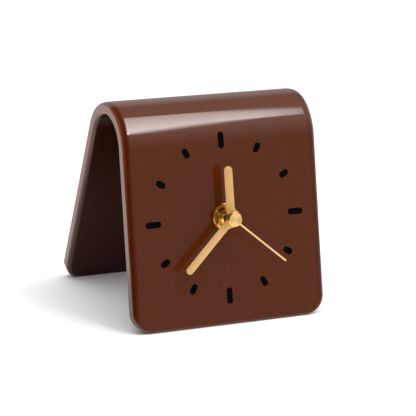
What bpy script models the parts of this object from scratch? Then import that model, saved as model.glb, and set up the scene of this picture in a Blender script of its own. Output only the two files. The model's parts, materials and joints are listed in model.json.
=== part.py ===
"""Ceramic desk clock: one glazed slab bent into an arch, with a quartz movement behind the dial.

Metres, +Z up, +X to the right of the dial, +Y to the back. The origin is the middle of the
bounding box on the surface that the clock stands on.
The dial frame has its origin on the dial's face at the hand axis, x to the right, y up the face
and z out of it. Inside the movement, depths are counted inwards from its front face.
"""

import math

import bmesh
import bpy
from mathutils import Vector

MM = 0.001

# Ceramic arch
BODY_WIDTH = 99.4 * MM
BODY_HEIGHT = 101.5 * MM
WALL = 6.2 * MM
FRONT_LEAN = math.radians(13.0)
REAR_LEAN = math.radians(21.1)
BEND_RADIUS = 22 * MM
CORNER_RADIUS = 9.5 * MM
OUTER_RIM_REACH = 4.2 * MM
OUTER_RIM_DROP = 1.2 * MM
INNER_RIM_REACH = 1.5 * MM
INNER_RIM_DROP = 0.8 * MM
FOOT_TRIM = 0.4 * MM
BEND_STEPS = 20
CORNER_STEPS = 7
RIM_STEPS = 4

# Dial. The hand axis and the marker circle follow the flat part of the front face.
DIAL_CENTRE_SHARE = 0.585
MARKER_CIRCLE_RUN_SHARE = 0.4246
MARKER_CIRCLE_WIDTH_SHARE = 0.3703
MARKER_WIDTH = 2.75 * MM
MARKER_LONG = 7.7 * MM
MARKER_SHORT = 4.8 * MM
POCKET_DEPTH = 1.2 * MM
INLAY_THICKNESS = 0.4 * MM
INLAY_CLEARANCE = 0.15 * MM
MARKER_COUNT = 12
QUARTERS_EVERY = 3
PILL_STEPS = 6

# Clearances shared by the pieces
SEAT_GAP = 0.2 * MM
RUNNING_GAP = 0.25 * MM
PUSH_FIT_GAP = 0.1 * MM
HOLE_CLEARANCE = 0.15 * MM
OVERRUN = 1.0 * MM

# Threaded bush, washer and nut
BUSH_RADIUS = 4.0 * MM
BUSH_LENGTH_OUT = 5.5 * MM
BUSH_FLANGE_RADIUS = 5.1 * MM
BUSH_FLANGE = 1.0 * MM
WASHER_RADIUS = 6.3 * MM
WASHER_THICKNESS = 0.9 * MM
NUT_ACROSS_FLATS = 10 * MM
NUT_THICKNESS = 1.4 * MM
NUT_SIDES = 6
GASKET_RADIUS = 8.0 * MM
GASKET_THICKNESS = 1.0 * MM

# Hands
HAND_THICKNESS = 0.5 * MM
HAND_HUB_RADIUS = 3.0 * MM
HAND_TAIL = 4.6 * MM
PIPE_SHOWS = 0.6 * MM
HOUR_HAND_SHARE = 0.674
HOUR_HAND_WIDTH = 4.3 * MM
MINUTE_HAND_SHARE = 0.913
MINUTE_HAND_WIDTH = 3.7 * MM
HAND_STACK_GAP = 0.3 * MM
SECOND_HAND_SHARE = 0.925
SECOND_HAND_WIDTH = 0.85 * MM
SECOND_HAND_THICKNESS = 0.35 * MM
SECOND_HUB_RADIUS = 3.0 * MM
CAP_RADIUS = 3.5 * MM
CAP_THICKNESS = 1.4 * MM
CAP_CHAMFER = 0.25 * MM
COLLAR_THICKNESS = 1.5 * MM
CAP_SOCKET_DEPTH = 0.9 * MM
HOUR_ANGLE = math.radians(-0.4)
MINUTE_ANGLE = math.radians(226.0)
SECOND_ANGLE = math.radians(130.5)
ARC_STEPS = 10

# Steps round a circle, by its size
WIDE_CIRCLE_STEPS = 30
CIRCLE_STEPS = 20
SMALL_CIRCLE_STEPS = 12
SHARP_ANGLE = math.radians(35)

# Pipes and arbors on the hand axis
HOUR_PIPE_RADIUS = 2.5 * MM
MINUTE_PIPE_RADIUS = 1.0 * MM
SECOND_ARBOR_RADIUS = 0.45 * MM

# Movement case: its width follows the battery, its height and depth follow what lies in it
CASE_WALL = 1.2 * MM
COVER_CLEARANCE = 1.5 * MM
CASE_CORNER_RADIUS = 2.5 * MM
LID_THICKNESS = 1.3 * MM
PARTITION_THICKNESS = 1.2 * MM
WORKS_BOTTOM = -10.4 * MM
POST_RADIUS = 1.5 * MM
PIVOT_SOCKET_DEPTH = 1.1 * MM
LID_BOSS_HEIGHT = 1.2 * MM
CAVITY_CORNER_RADIUS = 1.0 * MM

# Battery, size AA
BATTERY_RADIUS = 7.25 * MM
BATTERY_LENGTH = 50.5 * MM
BATTERY_NUB_RADIUS = 2.7 * MM
BATTERY_NUB_LENGTH = 1.2 * MM
BATTERY_SHOULDER = 0.8 * MM
BATTERY_CLEARANCE = 0.35 * MM
CONTACT_THICKNESS = 0.3 * MM
CONTACT_WIDTH = 7 * MM
CONTACT_ROOM = 1.55 * MM
CONTACT_BOW_SPAN = 3.4 * MM
CONTACT_TAIL = 5.0 * MM

# Layers of the movement, as depths behind its front face
HOUR_WHEEL_DEPTH = 2.7 * MM
REVERSE_WHEEL_DEPTH = 4.1 * MM
CENTRE_WHEEL_DEPTH = 5.3 * MM
THIRD_WHEEL_DEPTH = 6.9 * MM
MIDDLE_PLATE_DEPTH = 8.0 * MM
SECOND_WHEEL_DEPTH = 9.1 * MM
FIFTH_WHEEL_DEPTH = 10.4 * MM
ROTOR_MAGNET_DEPTH = 11.4 * MM
STATOR_DEPTH = 11.9 * MM
BOARD_DEPTH = 8.0 * MM
WHEEL_THICKNESS = 0.7 * MM
PINION_OVERLAP = 0.15 * MM
MIDDLE_PLATE_THICKNESS = 0.8 * MM
MIDDLE_PLATE_LEFT = -19.5 * MM
MIDDLE_PLATE_RIGHT = 15.5 * MM
MIDDLE_PLATE_BOTTOM = -4.6 * MM
MIDDLE_PLATE_TOP = 15.2 * MM

# Wheels: tooth counts and modules
ROTOR_PINION_TEETH = 12
FIFTH_WHEEL_TEETH = 60
FIFTH_PINION_TEETH = 10
SECOND_WHEEL_TEETH = 60
SECOND_PINION_TEETH = 8
THIRD_WHEEL_TEETH = 60
THIRD_PINION_TEETH = 8
CENTRE_WHEEL_TEETH = 64
CANNON_PINION_TEETH = 12
REVERSE_WHEEL_TEETH = 36
REVERSE_PINION_TEETH = 10
HOUR_WHEEL_TEETH = 40
KNOB_PINION_TEETH = 14
ROTOR_MODULE = 0.20 * MM
FIFTH_MODULE = 0.22 * MM
SECOND_MODULE = 0.25 * MM
MOTION_MODULE = 0.25 * MM
ADDENDUM_SHARE = 0.85
DEDENDUM_SHARE = 1.15
TOOTH_TIP_SHARE = 0.18
TOOTH_ROOT_SHARE = 0.56
THIRD_DIRECTION = math.radians(150)
FIFTH_DIRECTION = math.radians(60)
ROTOR_DIRECTION = math.radians(30)
REVERSE_DIRECTION = math.radians(-60)
KNOB_DIRECTION = math.radians(-10)
PIVOT_RADIUS = 0.35 * MM
ARBOR_RADIUS = 0.55 * MM
STUD_RADIUS = 0.5 * MM
MAGNET_RADIUS = 3.0 * MM
MAGNET_THICKNESS = 1.8 * MM

# Setting knob
KNOB_RADIUS = 4.4 * MM
KNOB_THICKNESS = 2.4 * MM
KNOB_STEM_RADIUS = 1.2 * MM
KNOB_SCALLOPS = 20
SCALLOP_DEPTH_SHARE = 0.92

# Coil, stator and circuit
STATOR_THICKNESS = 0.8 * MM
STATOR_POLE_RADIUS = 4.7 * MM
STATOR_BAR_HALF_WIDTH = 1.8 * MM
STATOR_LEG_WIDTH = 4.0 * MM
STATOR_MARGIN = 2.7 * MM
COIL_OFFSET = 9.8 * MM
BOBBIN_FLANGE_RADIUS = 2.3 * MM
BOBBIN_FLANGE = 0.8 * MM
BOBBIN_BARREL_RADIUS = 1.15 * MM
WINDING_RADIUS = 2.0 * MM
COIL_CORE_RADIUS = 0.65 * MM
BOARD_WIDTH = 20 * MM
BOARD_HEIGHT = 9.6 * MM
BOARD_THICKNESS = 0.8 * MM
BOARD_MARGIN = 0.8 * MM
BOARD_PLATE_GAP = 1.2 * MM
CHIP_RADIUS = 2.6 * MM
CHIP_HEIGHT = 1.1 * MM
CHIP_CROWN_SHARE = 0.7
CRYSTAL_RADIUS = 1.0 * MM
CRYSTAL_LENGTH = 6.0 * MM

# Places and lengths worked out from the sizes above
BEND_HEIGHT = BODY_HEIGHT - BEND_RADIUS
BEND_BACK = (BEND_RADIUS + BEND_HEIGHT * math.sin(FRONT_LEAN)) / math.cos(FRONT_LEAN)
BEND_TURN = math.pi - FRONT_LEAN - REAR_LEAN
FRONT_RUN = (BEND_HEIGHT + BEND_RADIUS * math.sin(FRONT_LEAN)) / math.cos(FRONT_LEAN)
REAR_RUN = (BEND_HEIGHT + BEND_RADIUS * math.sin(REAR_LEAN)) / math.cos(REAR_LEAN)
SLAB_LENGTH = FRONT_RUN + BEND_RADIUS * BEND_TURN + REAR_RUN
DIAL_CENTRE_UP = FRONT_RUN * DIAL_CENTRE_SHARE
MARKER_CIRCLE_RADIUS = min(FRONT_RUN * MARKER_CIRCLE_RUN_SHARE, BODY_WIDTH * MARKER_CIRCLE_WIDTH_SHARE)
HOUR_HAND_LENGTH = MARKER_CIRCLE_RADIUS * HOUR_HAND_SHARE
MINUTE_HAND_LENGTH = MARKER_CIRCLE_RADIUS * MINUTE_HAND_SHARE
SECOND_HAND_LENGTH = MARKER_CIRCLE_RADIUS * SECOND_HAND_SHARE
CASE_FACE = -(WALL + SEAT_GAP + GASKET_THICKNESS + SEAT_GAP)
CASE_DEPTH = ROTOR_MAGNET_DEPTH + MAGNET_THICKNESS + COVER_CLEARANCE + LID_THICKNESS
TRAY_DEPTH = CASE_DEPTH - LID_THICKNESS - SEAT_GAP
CASE_INSIDE = BATTERY_LENGTH / 2 + CONTACT_ROOM
CASE_HALF = CASE_INSIDE + CASE_WALL
WORKS_TOP = MIDDLE_PLATE_TOP + BOARD_PLATE_GAP + BOARD_HEIGHT + BOARD_MARGIN
BAY_TOP = WORKS_BOTTOM - PARTITION_THICKNESS
BATTERY_UP = BAY_TOP - BATTERY_CLEARANCE - BATTERY_RADIUS
BAY_BOTTOM = BATTERY_UP - BATTERY_RADIUS - BATTERY_CLEARANCE
CASE_TOP = WORKS_TOP + CASE_WALL
CASE_BOTTOM = BAY_BOTTOM - CASE_WALL
BATTERY_DEPTH = CASE_WALL + RUNNING_GAP + BATTERY_RADIUS
HOUR_HAND_BACK = BUSH_LENGTH_OUT + PIPE_SHOWS
MINUTE_HAND_BACK = HOUR_HAND_BACK + HAND_THICKNESS + HAND_STACK_GAP
COLLAR_BACK = MINUTE_HAND_BACK + HAND_THICKNESS + HAND_STACK_GAP
SECOND_HAND_BACK = COLLAR_BACK + COLLAR_THICKNESS + SEAT_GAP
CAP_BACK = SECOND_HAND_BACK + SECOND_HAND_THICKNESS + SEAT_GAP


def polar(radius, angle):
    return Vector((radius * math.cos(angle), radius * math.sin(angle)))


THIRD_DISTANCE = SECOND_MODULE * (SECOND_PINION_TEETH + THIRD_WHEEL_TEETH) / 2
CENTRE_MODULE = 2 * THIRD_DISTANCE / (THIRD_PINION_TEETH + CENTRE_WHEEL_TEETH)
REVERSE_DISTANCE = MOTION_MODULE * (CANNON_PINION_TEETH + REVERSE_WHEEL_TEETH) / 2
HOUR_MODULE = 2 * REVERSE_DISTANCE / (REVERSE_PINION_TEETH + HOUR_WHEEL_TEETH)
FIFTH_DISTANCE = FIFTH_MODULE * (FIFTH_PINION_TEETH + SECOND_WHEEL_TEETH) / 2
ROTOR_DISTANCE = ROTOR_MODULE * (ROTOR_PINION_TEETH + FIFTH_WHEEL_TEETH) / 2
KNOB_DISTANCE = MOTION_MODULE * (KNOB_PINION_TEETH + REVERSE_WHEEL_TEETH) / 2
HAND_AXIS = Vector((0, 0))
THIRD_PLACE = polar(THIRD_DISTANCE, THIRD_DIRECTION)
FIFTH_PLACE = polar(FIFTH_DISTANCE, FIFTH_DIRECTION)
ROTOR_PLACE = FIFTH_PLACE + polar(ROTOR_DISTANCE, ROTOR_DIRECTION)
REVERSE_PLACE = polar(REVERSE_DISTANCE, REVERSE_DIRECTION)
KNOB_PLACE = REVERSE_PLACE + polar(KNOB_DISTANCE, KNOB_DIRECTION)
BOARD_LEFT = -CASE_INSIDE + BOARD_MARGIN
BOARD_TOP = WORKS_TOP - BOARD_MARGIN
STATOR_RIGHT = CASE_INSIDE - STATOR_MARGIN
STATOR_LEFT = 2 * ROTOR_PLACE.x - STATOR_RIGHT
COIL_LENGTH = STATOR_RIGHT - STATOR_LEFT - 2 * STATOR_LEG_WIDTH
COIL_UP = ROTOR_PLACE.y + COIL_OFFSET


def height(depth):
    """Turn a depth behind the movement's front face into a height in the dial frame."""
    return CASE_FACE - depth


# Outlines

def circle(radius, segments=CIRCLE_STEPS, centre=HAND_AXIS):
    return [centre + polar(radius, 2 * math.pi * step / segments) for step in range(segments)]


def small_circle(radius, centre=HAND_AXIS):
    return circle(radius, SMALL_CIRCLE_STEPS, centre)


def wide_circle(radius):
    return circle(radius, WIDE_CIRCLE_STEPS)


def arc(centre, radius, start, end, steps=ARC_STEPS):
    return [centre + polar(radius, start + (end - start) * step / steps) for step in range(steps + 1)]


def rounded_rectangle(left, bottom, right, top, radius, steps=3):
    corners = ((right - radius, top - radius), (left + radius, top - radius),
               (left + radius, bottom + radius), (right - radius, bottom + radius))
    points = []
    for number, corner in enumerate(corners):
        start = number * math.pi / 2
        points += arc(Vector(corner), radius, start, start + math.pi / 2, steps)
    return points


def pill(length, width, angle, distance):
    """A bar with round ends, pointing at the hand axis, at a clock angle and distance."""
    along = polar(1, math.pi / 2 - angle)
    reach = (length - width) / 2
    turn = math.atan2(along.y, along.x)
    centre = along * distance
    outer = arc(centre + along * reach, width / 2, turn - math.pi / 2, turn + math.pi / 2, PILL_STEPS)
    inner = arc(centre - along * reach, width / 2, turn + math.pi / 2, turn + 3 * math.pi / 2, PILL_STEPS)
    return outer + inner


def toothed(teeth, module, phase):
    """Straight-flanked teeth, the first one centred on the phase angle."""
    pitch = 2 * math.pi / teeth
    tip = (teeth / 2 + ADDENDUM_SHARE) * module
    root = (teeth / 2 - DEDENDUM_SHARE) * module
    corners = ((root, -TOOTH_ROOT_SHARE), (tip, -TOOTH_TIP_SHARE),
               (tip, TOOTH_TIP_SHARE), (root, TOOTH_ROOT_SHARE))
    points = []
    for tooth in range(teeth):
        middle = phase + tooth * pitch
        points += [polar(radius, middle + share * pitch / 2) for radius, share in corners]
    return points


def mesh_phase(direction, teeth, phase, other_teeth):
    """Phase of the wheel that meshes, in this direction, with a wheel of known phase."""
    return direction + math.pi + math.pi / other_teeth + (direction - phase) * teeth / other_teeth


def hand_outline(hub_radius, width, length, tail=None):
    """A hub disc with one parallel blade that points up, and a tail as wide, both with round ends."""
    half = width / 2
    lift = math.sqrt(hub_radius ** 2 - half ** 2)
    leave = math.atan2(lift, half)
    tip = arc(Vector((0, length - half)), half, 0, math.pi)
    if tail is None:
        return arc(HAND_AXIS, hub_radius, math.pi - leave, 2 * math.pi + leave, 3 * ARC_STEPS) + tip
    left = arc(HAND_AXIS, hub_radius, math.pi - leave, math.pi + leave)
    end = arc(Vector((0, half - tail)), half, math.pi, 2 * math.pi)
    right = arc(HAND_AXIS, hub_radius, -leave, leave)
    return left + end + right + tip


# Solids

def finish(colour, roughness, metallic):
    return {"colour": colour, "roughness": roughness, "metallic": metallic}


GLAZE = finish((0.112, 0.032, 0.016), 0.12, 0.0)
BLACK_ENAMEL = finish((0.006, 0.006, 0.006), 0.35, 0.0)
BRASS = finish((0.62, 0.38, 0.13), 0.28, 1.0)
HAND_BRASS = finish((0.72, 0.47, 0.20), 0.35, 1.0)
STEEL = finish((0.55, 0.55, 0.56), 0.3, 1.0)
BLACK_CASE = finish((0.02, 0.02, 0.021), 0.45, 0.0)
WHITE_RESIN = finish((0.78, 0.78, 0.74), 0.4, 0.0)
RUBBER = finish((0.015, 0.015, 0.015), 0.8, 0.0)
COPPER = finish((0.68, 0.26, 0.12), 0.35, 1.0)
BOARD_GREEN = finish((0.03, 0.16, 0.06), 0.5, 0.0)
BATTERY_SLEEVE = finish((0.03, 0.09, 0.20), 0.3, 0.0)
MAGNET_GREY = finish((0.10, 0.10, 0.11), 0.4, 0.6)


def add_object(name, mesh, look, parent=None, place=HAND_AXIS, turn=0.0):
    made = bpy.data.objects.new(name, mesh)
    bpy.context.collection.objects.link(made)
    material = bpy.data.materials.new(name)
    material.use_nodes = True
    shader = material.node_tree.nodes["Principled BSDF"]
    shader.inputs["Base Color"].default_value = (*look["colour"], 1.0)
    shader.inputs["Roughness"].default_value = look["roughness"]
    shader.inputs["Metallic"].default_value = look["metallic"]
    mesh.materials.append(material)
    made.parent = parent
    made.location = (place[0], place[1], 0)
    made.rotation_euler = (0, 0, turn)
    return made


def add_ring(bm, outline, z):
    return [bm.verts.new((point[0], point[1], z)) for point in outline]


def wall_between(bm, low, high):
    for number in range(len(low)):
        following = (number + 1) % len(low)
        bm.faces.new((low[number], low[following], high[following], high[number]))


def ring_edges(bm, ring):
    edges = []
    for number, vert in enumerate(ring):
        following = ring[(number + 1) % len(ring)]
        edges.append(bm.edges.get((vert, following)) or bm.edges.new((vert, following)))
    return edges


def fill(bm, rings):
    edges = []
    for ring in rings:
        edges += ring_edges(bm, ring)
    bmesh.ops.triangle_fill(bm, use_beauty=True, edges=edges)


def add_stack(bm, start, layers, bores=(), socket=None):
    """Close one body from layers of nested outlines, each up to its own end height.

    Bores run right through, and a socket is a blind hole in the last face.
    """
    z = start
    first = add_ring(bm, layers[0][0], z)
    below = first
    for number, (outline, end) in enumerate(layers):
        if number:
            ring = add_ring(bm, outline, z)
            fill(bm, (below, ring))
            below = ring
        above = add_ring(bm, outline, end)
        wall_between(bm, below, above)
        below = above
        z = end
    bottoms = []
    tops = []
    for outline in bores:
        bottoms.append(add_ring(bm, outline, start))
        tops.append(add_ring(bm, outline, z))
        wall_between(bm, bottoms[-1], tops[-1])
    if socket:
        mouth = add_ring(bm, socket[0], z)
        floor = add_ring(bm, socket[0], socket[1])
        wall_between(bm, floor, mouth)
        fill(bm, (floor,))
        tops.append(mouth)
    fill(bm, [first] + bottoms)
    fill(bm, [below] + tops)


def finish_mesh(bm, name):
    bmesh.ops.recalc_face_normals(bm, faces=bm.faces)
    mesh = bpy.data.meshes.new(name)
    bm.to_mesh(mesh)
    bm.free()
    mesh.shade_smooth()
    mesh.set_sharp_from_angle(angle=SHARP_ANGLE)
    return mesh


def stack(name, start, layers, look, bores=(), socket=None, parent=None, place=HAND_AXIS, turn=0.0):
    bm = bmesh.new()
    add_stack(bm, start, layers, bores, socket)
    return add_object(name, finish_mesh(bm, name), look, parent, place, turn)


def tool(name, bodies, parent=None):
    """A hidden cutter or addition made of separate plain prisms."""
    bm = bmesh.new()
    for outline, low, high in bodies:
        add_stack(bm, low, [(outline, high)])
    made = add_object(name, finish_mesh(bm, name), BLACK_CASE, parent)
    made.hide_render = True
    made.display_type = "WIRE"
    return made


def combine(target, other, operation):
    modifier = target.modifiers.new(other.name, "BOOLEAN")
    modifier.object = other
    modifier.operation = operation
    modifier.solver = "EXACT"


# Ceramic arch


def slab_point(x, along, out):
    """Place a point of the flat slab on the arch: along its outer face, and out of that face."""
    if along <= FRONT_RUN:
        turned, straight = 0.0, along - FRONT_RUN
    elif along >= SLAB_LENGTH - REAR_RUN:
        turned, straight = BEND_TURN, along - SLAB_LENGTH + REAR_RUN
    else:
        turned, straight = (along - FRONT_RUN) / BEND_RADIUS, 0.0
    angle = FRONT_LEAN + turned
    outward = Vector((0, -math.cos(angle), math.sin(angle)))
    forward = Vector((0, math.sin(angle), math.cos(angle)))
    centre = Vector((0, BEND_BACK, BEND_HEIGHT))
    return centre + outward * (BEND_RADIUS + out) + forward * straight + Vector((x, 0, 0))


def slab_ring(inset):
    """Rows across the slab from one foot to the other, as half widths and places along it."""
    near = -FOOT_TRIM + CORNER_RADIUS
    far = SLAB_LENGTH + FOOT_TRIM - CORNER_RADIUS
    radius = CORNER_RADIUS - inset
    side = BODY_WIDTH / 2 - CORNER_RADIUS
    quarter = [step * math.pi / 2 / CORNER_STEPS for step in range(CORNER_STEPS + 1)]
    rows = [(side + radius * math.sin(angle), near - radius * math.cos(angle)) for angle in quarter]
    for step in range(BEND_STEPS + 1):
        along = FRONT_RUN + BEND_RADIUS * BEND_TURN * step / BEND_STEPS
        rows.append((side + radius, along))
    rows += [(side + radius * math.cos(angle), far + radius * math.sin(angle)) for angle in quarter]
    return rows


def rim_profile():
    """Insets and depths of the slab's edge, from the outer face round to the inner one."""
    outer = []
    inner = []
    for step in range(RIM_STEPS + 1):
        angle = step * math.pi / 2 / RIM_STEPS
        inward = 1 - math.sin(angle)
        drop = 1 - math.cos(angle)
        outer.append((OUTER_RIM_REACH * inward, -OUTER_RIM_DROP * drop))
        inner.append((INNER_RIM_REACH * inward, -WALL + INNER_RIM_DROP * drop))
    return outer + inner[::-1]


def make_arch():
    bm = bmesh.new()
    rings = []
    for inset, out in rim_profile():
        rows = slab_ring(inset)
        right = [bm.verts.new(slab_point(x, along, out)) for x, along in rows]
        left = [bm.verts.new(slab_point(-x, along, out)) for x, along in rows]
        rings.append((right, left))
    for (right, left), (next_right, next_left) in zip(rings, rings[1:]):
        wall_between(bm, right + left[::-1], next_right + next_left[::-1])
    for right, left in (rings[0], rings[-1]):
        for row in range(len(right) - 1):
            bm.faces.new((right[row], right[row + 1], left[row + 1], left[row]))
    bmesh.ops.recalc_face_normals(bm, faces=bm.faces)
    everything = bm.verts[:] + bm.edges[:] + bm.faces[:]
    bmesh.ops.bisect_plane(bm, geom=everything, plane_co=(0, 0, 0), plane_no=(0, 0, 1), clear_inner=True)
    open_edges = [edge for edge in bm.edges if edge.is_boundary]
    bmesh.ops.edgeloop_fill(bm, edges=open_edges)
    return add_object("clock_body", finish_mesh(bm, "clock_body"), GLAZE)


def marker_length(number):
    return MARKER_SHORT if number % QUARTERS_EVERY else MARKER_LONG


def make_dial(body, dial):
    cuts = [(circle(BUSH_RADIUS + HOLE_CLEARANCE), -WALL - OVERRUN, OVERRUN)]
    for number in range(1, MARKER_COUNT + 1):
        angle = 2 * math.pi * number / MARKER_COUNT
        pocket = pill(marker_length(number), MARKER_WIDTH, angle, MARKER_CIRCLE_RADIUS)
        cuts.append((pocket, -POCKET_DEPTH, OVERRUN))
        length = marker_length(number) - 2 * INLAY_CLEARANCE
        inlay = pill(length, MARKER_WIDTH - 2 * INLAY_CLEARANCE, angle, MARKER_CIRCLE_RADIUS)
        back = -POCKET_DEPTH + SEAT_GAP
        stack(f"hour_marker_{number:02d}", back, [(inlay, back + INLAY_THICKNESS)], BLACK_ENAMEL,
              parent=dial)
    combine(body, tool("dial_cutter", cuts, dial), "DIFFERENCE")


# Hardware on the hand axis

def make_bush_and_nut(dial):
    hole = BUSH_RADIUS + HOLE_CLEARANCE
    bush_bore = circle(HOUR_PIPE_RADIUS + RUNNING_GAP)
    flange_back = height(CASE_WALL + SEAT_GAP + BUSH_FLANGE)
    flange = (circle(BUSH_FLANGE_RADIUS), flange_back + BUSH_FLANGE)
    stack("threaded_bush", flange_back, [flange, (circle(BUSH_RADIUS), BUSH_LENGTH_OUT)], BRASS,
          bores=[bush_bore], parent=dial)
    gasket_back = CASE_FACE + SEAT_GAP
    stack("rubber_gasket", gasket_back, [(circle(GASKET_RADIUS), gasket_back + GASKET_THICKNESS)],
          RUBBER, bores=[circle(hole)], parent=dial)
    stack("dial_washer", SEAT_GAP, [(wide_circle(WASHER_RADIUS), SEAT_GAP + WASHER_THICKNESS)],
          BRASS, bores=[circle(hole)], parent=dial)
    nut_back = SEAT_GAP + WASHER_THICKNESS + SEAT_GAP
    corner = NUT_ACROSS_FLATS / 2 / math.cos(math.pi / NUT_SIDES)
    stack("hand_nut", nut_back, [(circle(corner, NUT_SIDES), nut_back + NUT_THICKNESS)], BRASS,
          bores=[circle(hole)], parent=dial, turn=math.pi / NUT_SIDES)


def make_hands(dial):
    hour = hand_outline(HAND_HUB_RADIUS, HOUR_HAND_WIDTH, HOUR_HAND_LENGTH, HAND_TAIL)
    stack("hour_hand", HOUR_HAND_BACK, [(hour, HOUR_HAND_BACK + HAND_THICKNESS)], HAND_BRASS,
          bores=[circle(HOUR_PIPE_RADIUS + PUSH_FIT_GAP)], parent=dial, turn=-HOUR_ANGLE)
    minute = hand_outline(HAND_HUB_RADIUS, MINUTE_HAND_WIDTH, MINUTE_HAND_LENGTH, HAND_TAIL)
    stack("minute_hand", MINUTE_HAND_BACK, [(minute, MINUTE_HAND_BACK + HAND_THICKNESS)], HAND_BRASS,
          bores=[circle(MINUTE_PIPE_RADIUS + PUSH_FIT_GAP)], parent=dial, turn=-MINUTE_ANGLE)
    arbor_hole = small_circle(SECOND_ARBOR_RADIUS + PUSH_FIT_GAP)
    collar = [(wide_circle(CAP_RADIUS), COLLAR_BACK + COLLAR_THICKNESS)]
    stack("second_hand_collar", COLLAR_BACK, collar, HAND_BRASS, bores=[arbor_hole], parent=dial)
    second = hand_outline(SECOND_HUB_RADIUS, SECOND_HAND_WIDTH, SECOND_HAND_LENGTH)
    stack("second_hand", SECOND_HAND_BACK, [(second, SECOND_HAND_BACK + SECOND_HAND_THICKNESS)],
          HAND_BRASS, bores=[arbor_hole], parent=dial, turn=-SECOND_ANGLE)
    face = CAP_BACK + CAP_THICKNESS
    cap = [(wide_circle(CAP_RADIUS - CAP_CHAMFER), face - CAP_CHAMFER),
           (wide_circle(CAP_RADIUS), CAP_BACK)]
    stack("second_hand_cap", face, cap, HAND_BRASS,
          socket=(arbor_hole, CAP_BACK + CAP_SOCKET_DEPTH), parent=dial)


# Movement case

def pivot_hole(place, radius=PIVOT_RADIUS):
    return small_circle(radius + HOLE_CLEARANCE, place)


def plate_posts():
    """Posts that carry the middle plate, clear of the centre wheel and the third wheel."""
    side = MIDDLE_PLATE_LEFT + 2 * POST_RADIUS
    other = MIDDLE_PLATE_RIGHT - POST_RADIUS
    low = MIDDLE_PLATE_BOTTOM + POST_RADIUS
    high = MIDDLE_PLATE_TOP - POST_RADIUS
    places = ((side, low), (other, low + POST_RADIUS), (side, high), (other, high))
    return [Vector(place) for place in places]


def board_posts():
    near = BOARD_LEFT + 2 * POST_RADIUS
    far = BOARD_LEFT + BOARD_WIDTH - 2 * POST_RADIUS
    middle = BOARD_TOP - BOARD_HEIGHT / 2
    return [Vector((near, middle)), Vector((far, middle))]


def stator_posts():
    middle = STATOR_LEG_WIDTH / 2
    return [Vector((STATOR_LEFT + middle, COIL_UP)), Vector((STATOR_RIGHT - middle, COIL_UP))]


def make_front_case(dial):
    outline = rounded_rectangle(-CASE_HALF, CASE_BOTTOM, CASE_HALF, CASE_TOP, CASE_CORNER_RADIUS)
    case = stack("movement_front_case", height(TRAY_DEPTH), [(outline, height(0))], BLACK_CASE, parent=dial)
    floor = height(CASE_WALL)
    past = height(TRAY_DEPTH + OVERRUN)
    works = rounded_rectangle(-CASE_INSIDE, WORKS_BOTTOM, CASE_INSIDE, WORKS_TOP, CAVITY_CORNER_RADIUS)
    bay = rounded_rectangle(-CASE_INSIDE, BAY_BOTTOM, CASE_INSIDE, BAY_TOP, CAVITY_CORNER_RADIUS)
    combine(case, tool("case_cavities", [(works, past, floor), (bay, past, floor)], dial), "DIFFERENCE")

    root = height(CASE_WALL / 2)
    posts = []
    for place in plate_posts():
        posts.append((small_circle(POST_RADIUS, place), height(MIDDLE_PLATE_DEPTH - SEAT_GAP), root))
    for place in board_posts():
        posts.append((small_circle(POST_RADIUS, place), height(BOARD_DEPTH - SEAT_GAP), root))
    for place in stator_posts():
        posts.append((small_circle(POST_RADIUS, place), height(STATOR_DEPTH - SEAT_GAP), root))
    third_top = CENTRE_WHEEL_DEPTH - PINION_OVERLAP - SEAT_GAP
    posts.append((small_circle(POST_RADIUS, THIRD_PLACE), height(third_top), root))
    knob_top = REVERSE_WHEEL_DEPTH - PINION_OVERLAP - SEAT_GAP
    posts.append((small_circle(POST_RADIUS, KNOB_PLACE), height(knob_top), root))
    stud_top = height(REVERSE_WHEEL_DEPTH + WHEEL_THICKNESS)
    posts.append((small_circle(STUD_RADIUS, REVERSE_PLACE), stud_top, root))
    combine(case, tool("case_posts", posts, dial), "UNION")

    holes = [(circle(BUSH_RADIUS + HOLE_CLEARANCE), floor - OVERRUN, height(-OVERRUN))]
    for place, top in ((THIRD_PLACE, third_top), (KNOB_PLACE, knob_top)):
        holes.append((pivot_hole(place), height(top + OVERRUN), height(top - PIVOT_SOCKET_DEPTH)))
    combine(case, tool("case_holes", holes, dial), "DIFFERENCE")


def lid_boss_places():
    return (HAND_AXIS, FIFTH_PLACE, ROTOR_PLACE)


def make_rear_case(dial):
    outline = rounded_rectangle(-CASE_HALF, BAY_TOP, CASE_HALF, CASE_TOP, CASE_CORNER_RADIUS)
    inside = height(CASE_DEPTH - LID_THICKNESS)
    lid = stack("movement_rear_case", height(CASE_DEPTH), [(outline, inside)], BLACK_CASE,
                bores=[small_circle(KNOB_STEM_RADIUS + RUNNING_GAP, KNOB_PLACE)], parent=dial)
    sunk = inside - LID_THICKNESS / 2
    tip = inside + LID_BOSS_HEIGHT
    bosses = [(small_circle(POST_RADIUS, place), sunk, tip) for place in lid_boss_places()]
    combine(lid, tool("lid_bosses", bosses, dial), "UNION")
    holes = [(pivot_hole(place), tip - PIVOT_SOCKET_DEPTH, tip + OVERRUN) for place in lid_boss_places()]
    combine(lid, tool("lid_sockets", holes, dial), "DIFFERENCE")


def make_middle_plate(dial):
    outline = rounded_rectangle(MIDDLE_PLATE_LEFT, MIDDLE_PLATE_BOTTOM, MIDDLE_PLATE_RIGHT,
                                MIDDLE_PLATE_TOP, CAVITY_CORNER_RADIUS)
    bores = [pivot_hole(THIRD_PLACE), pivot_hole(FIFTH_PLACE), pivot_hole(ROTOR_PLACE),
             small_circle(ARBOR_RADIUS + HOLE_CLEARANCE)]
    back = height(MIDDLE_PLATE_DEPTH + MIDDLE_PLATE_THICKNESS)
    stack("middle_plate", back, [(outline, back + MIDDLE_PLATE_THICKNESS)], WHITE_RESIN,
          bores=bores, parent=dial)


# Wheels

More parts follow.
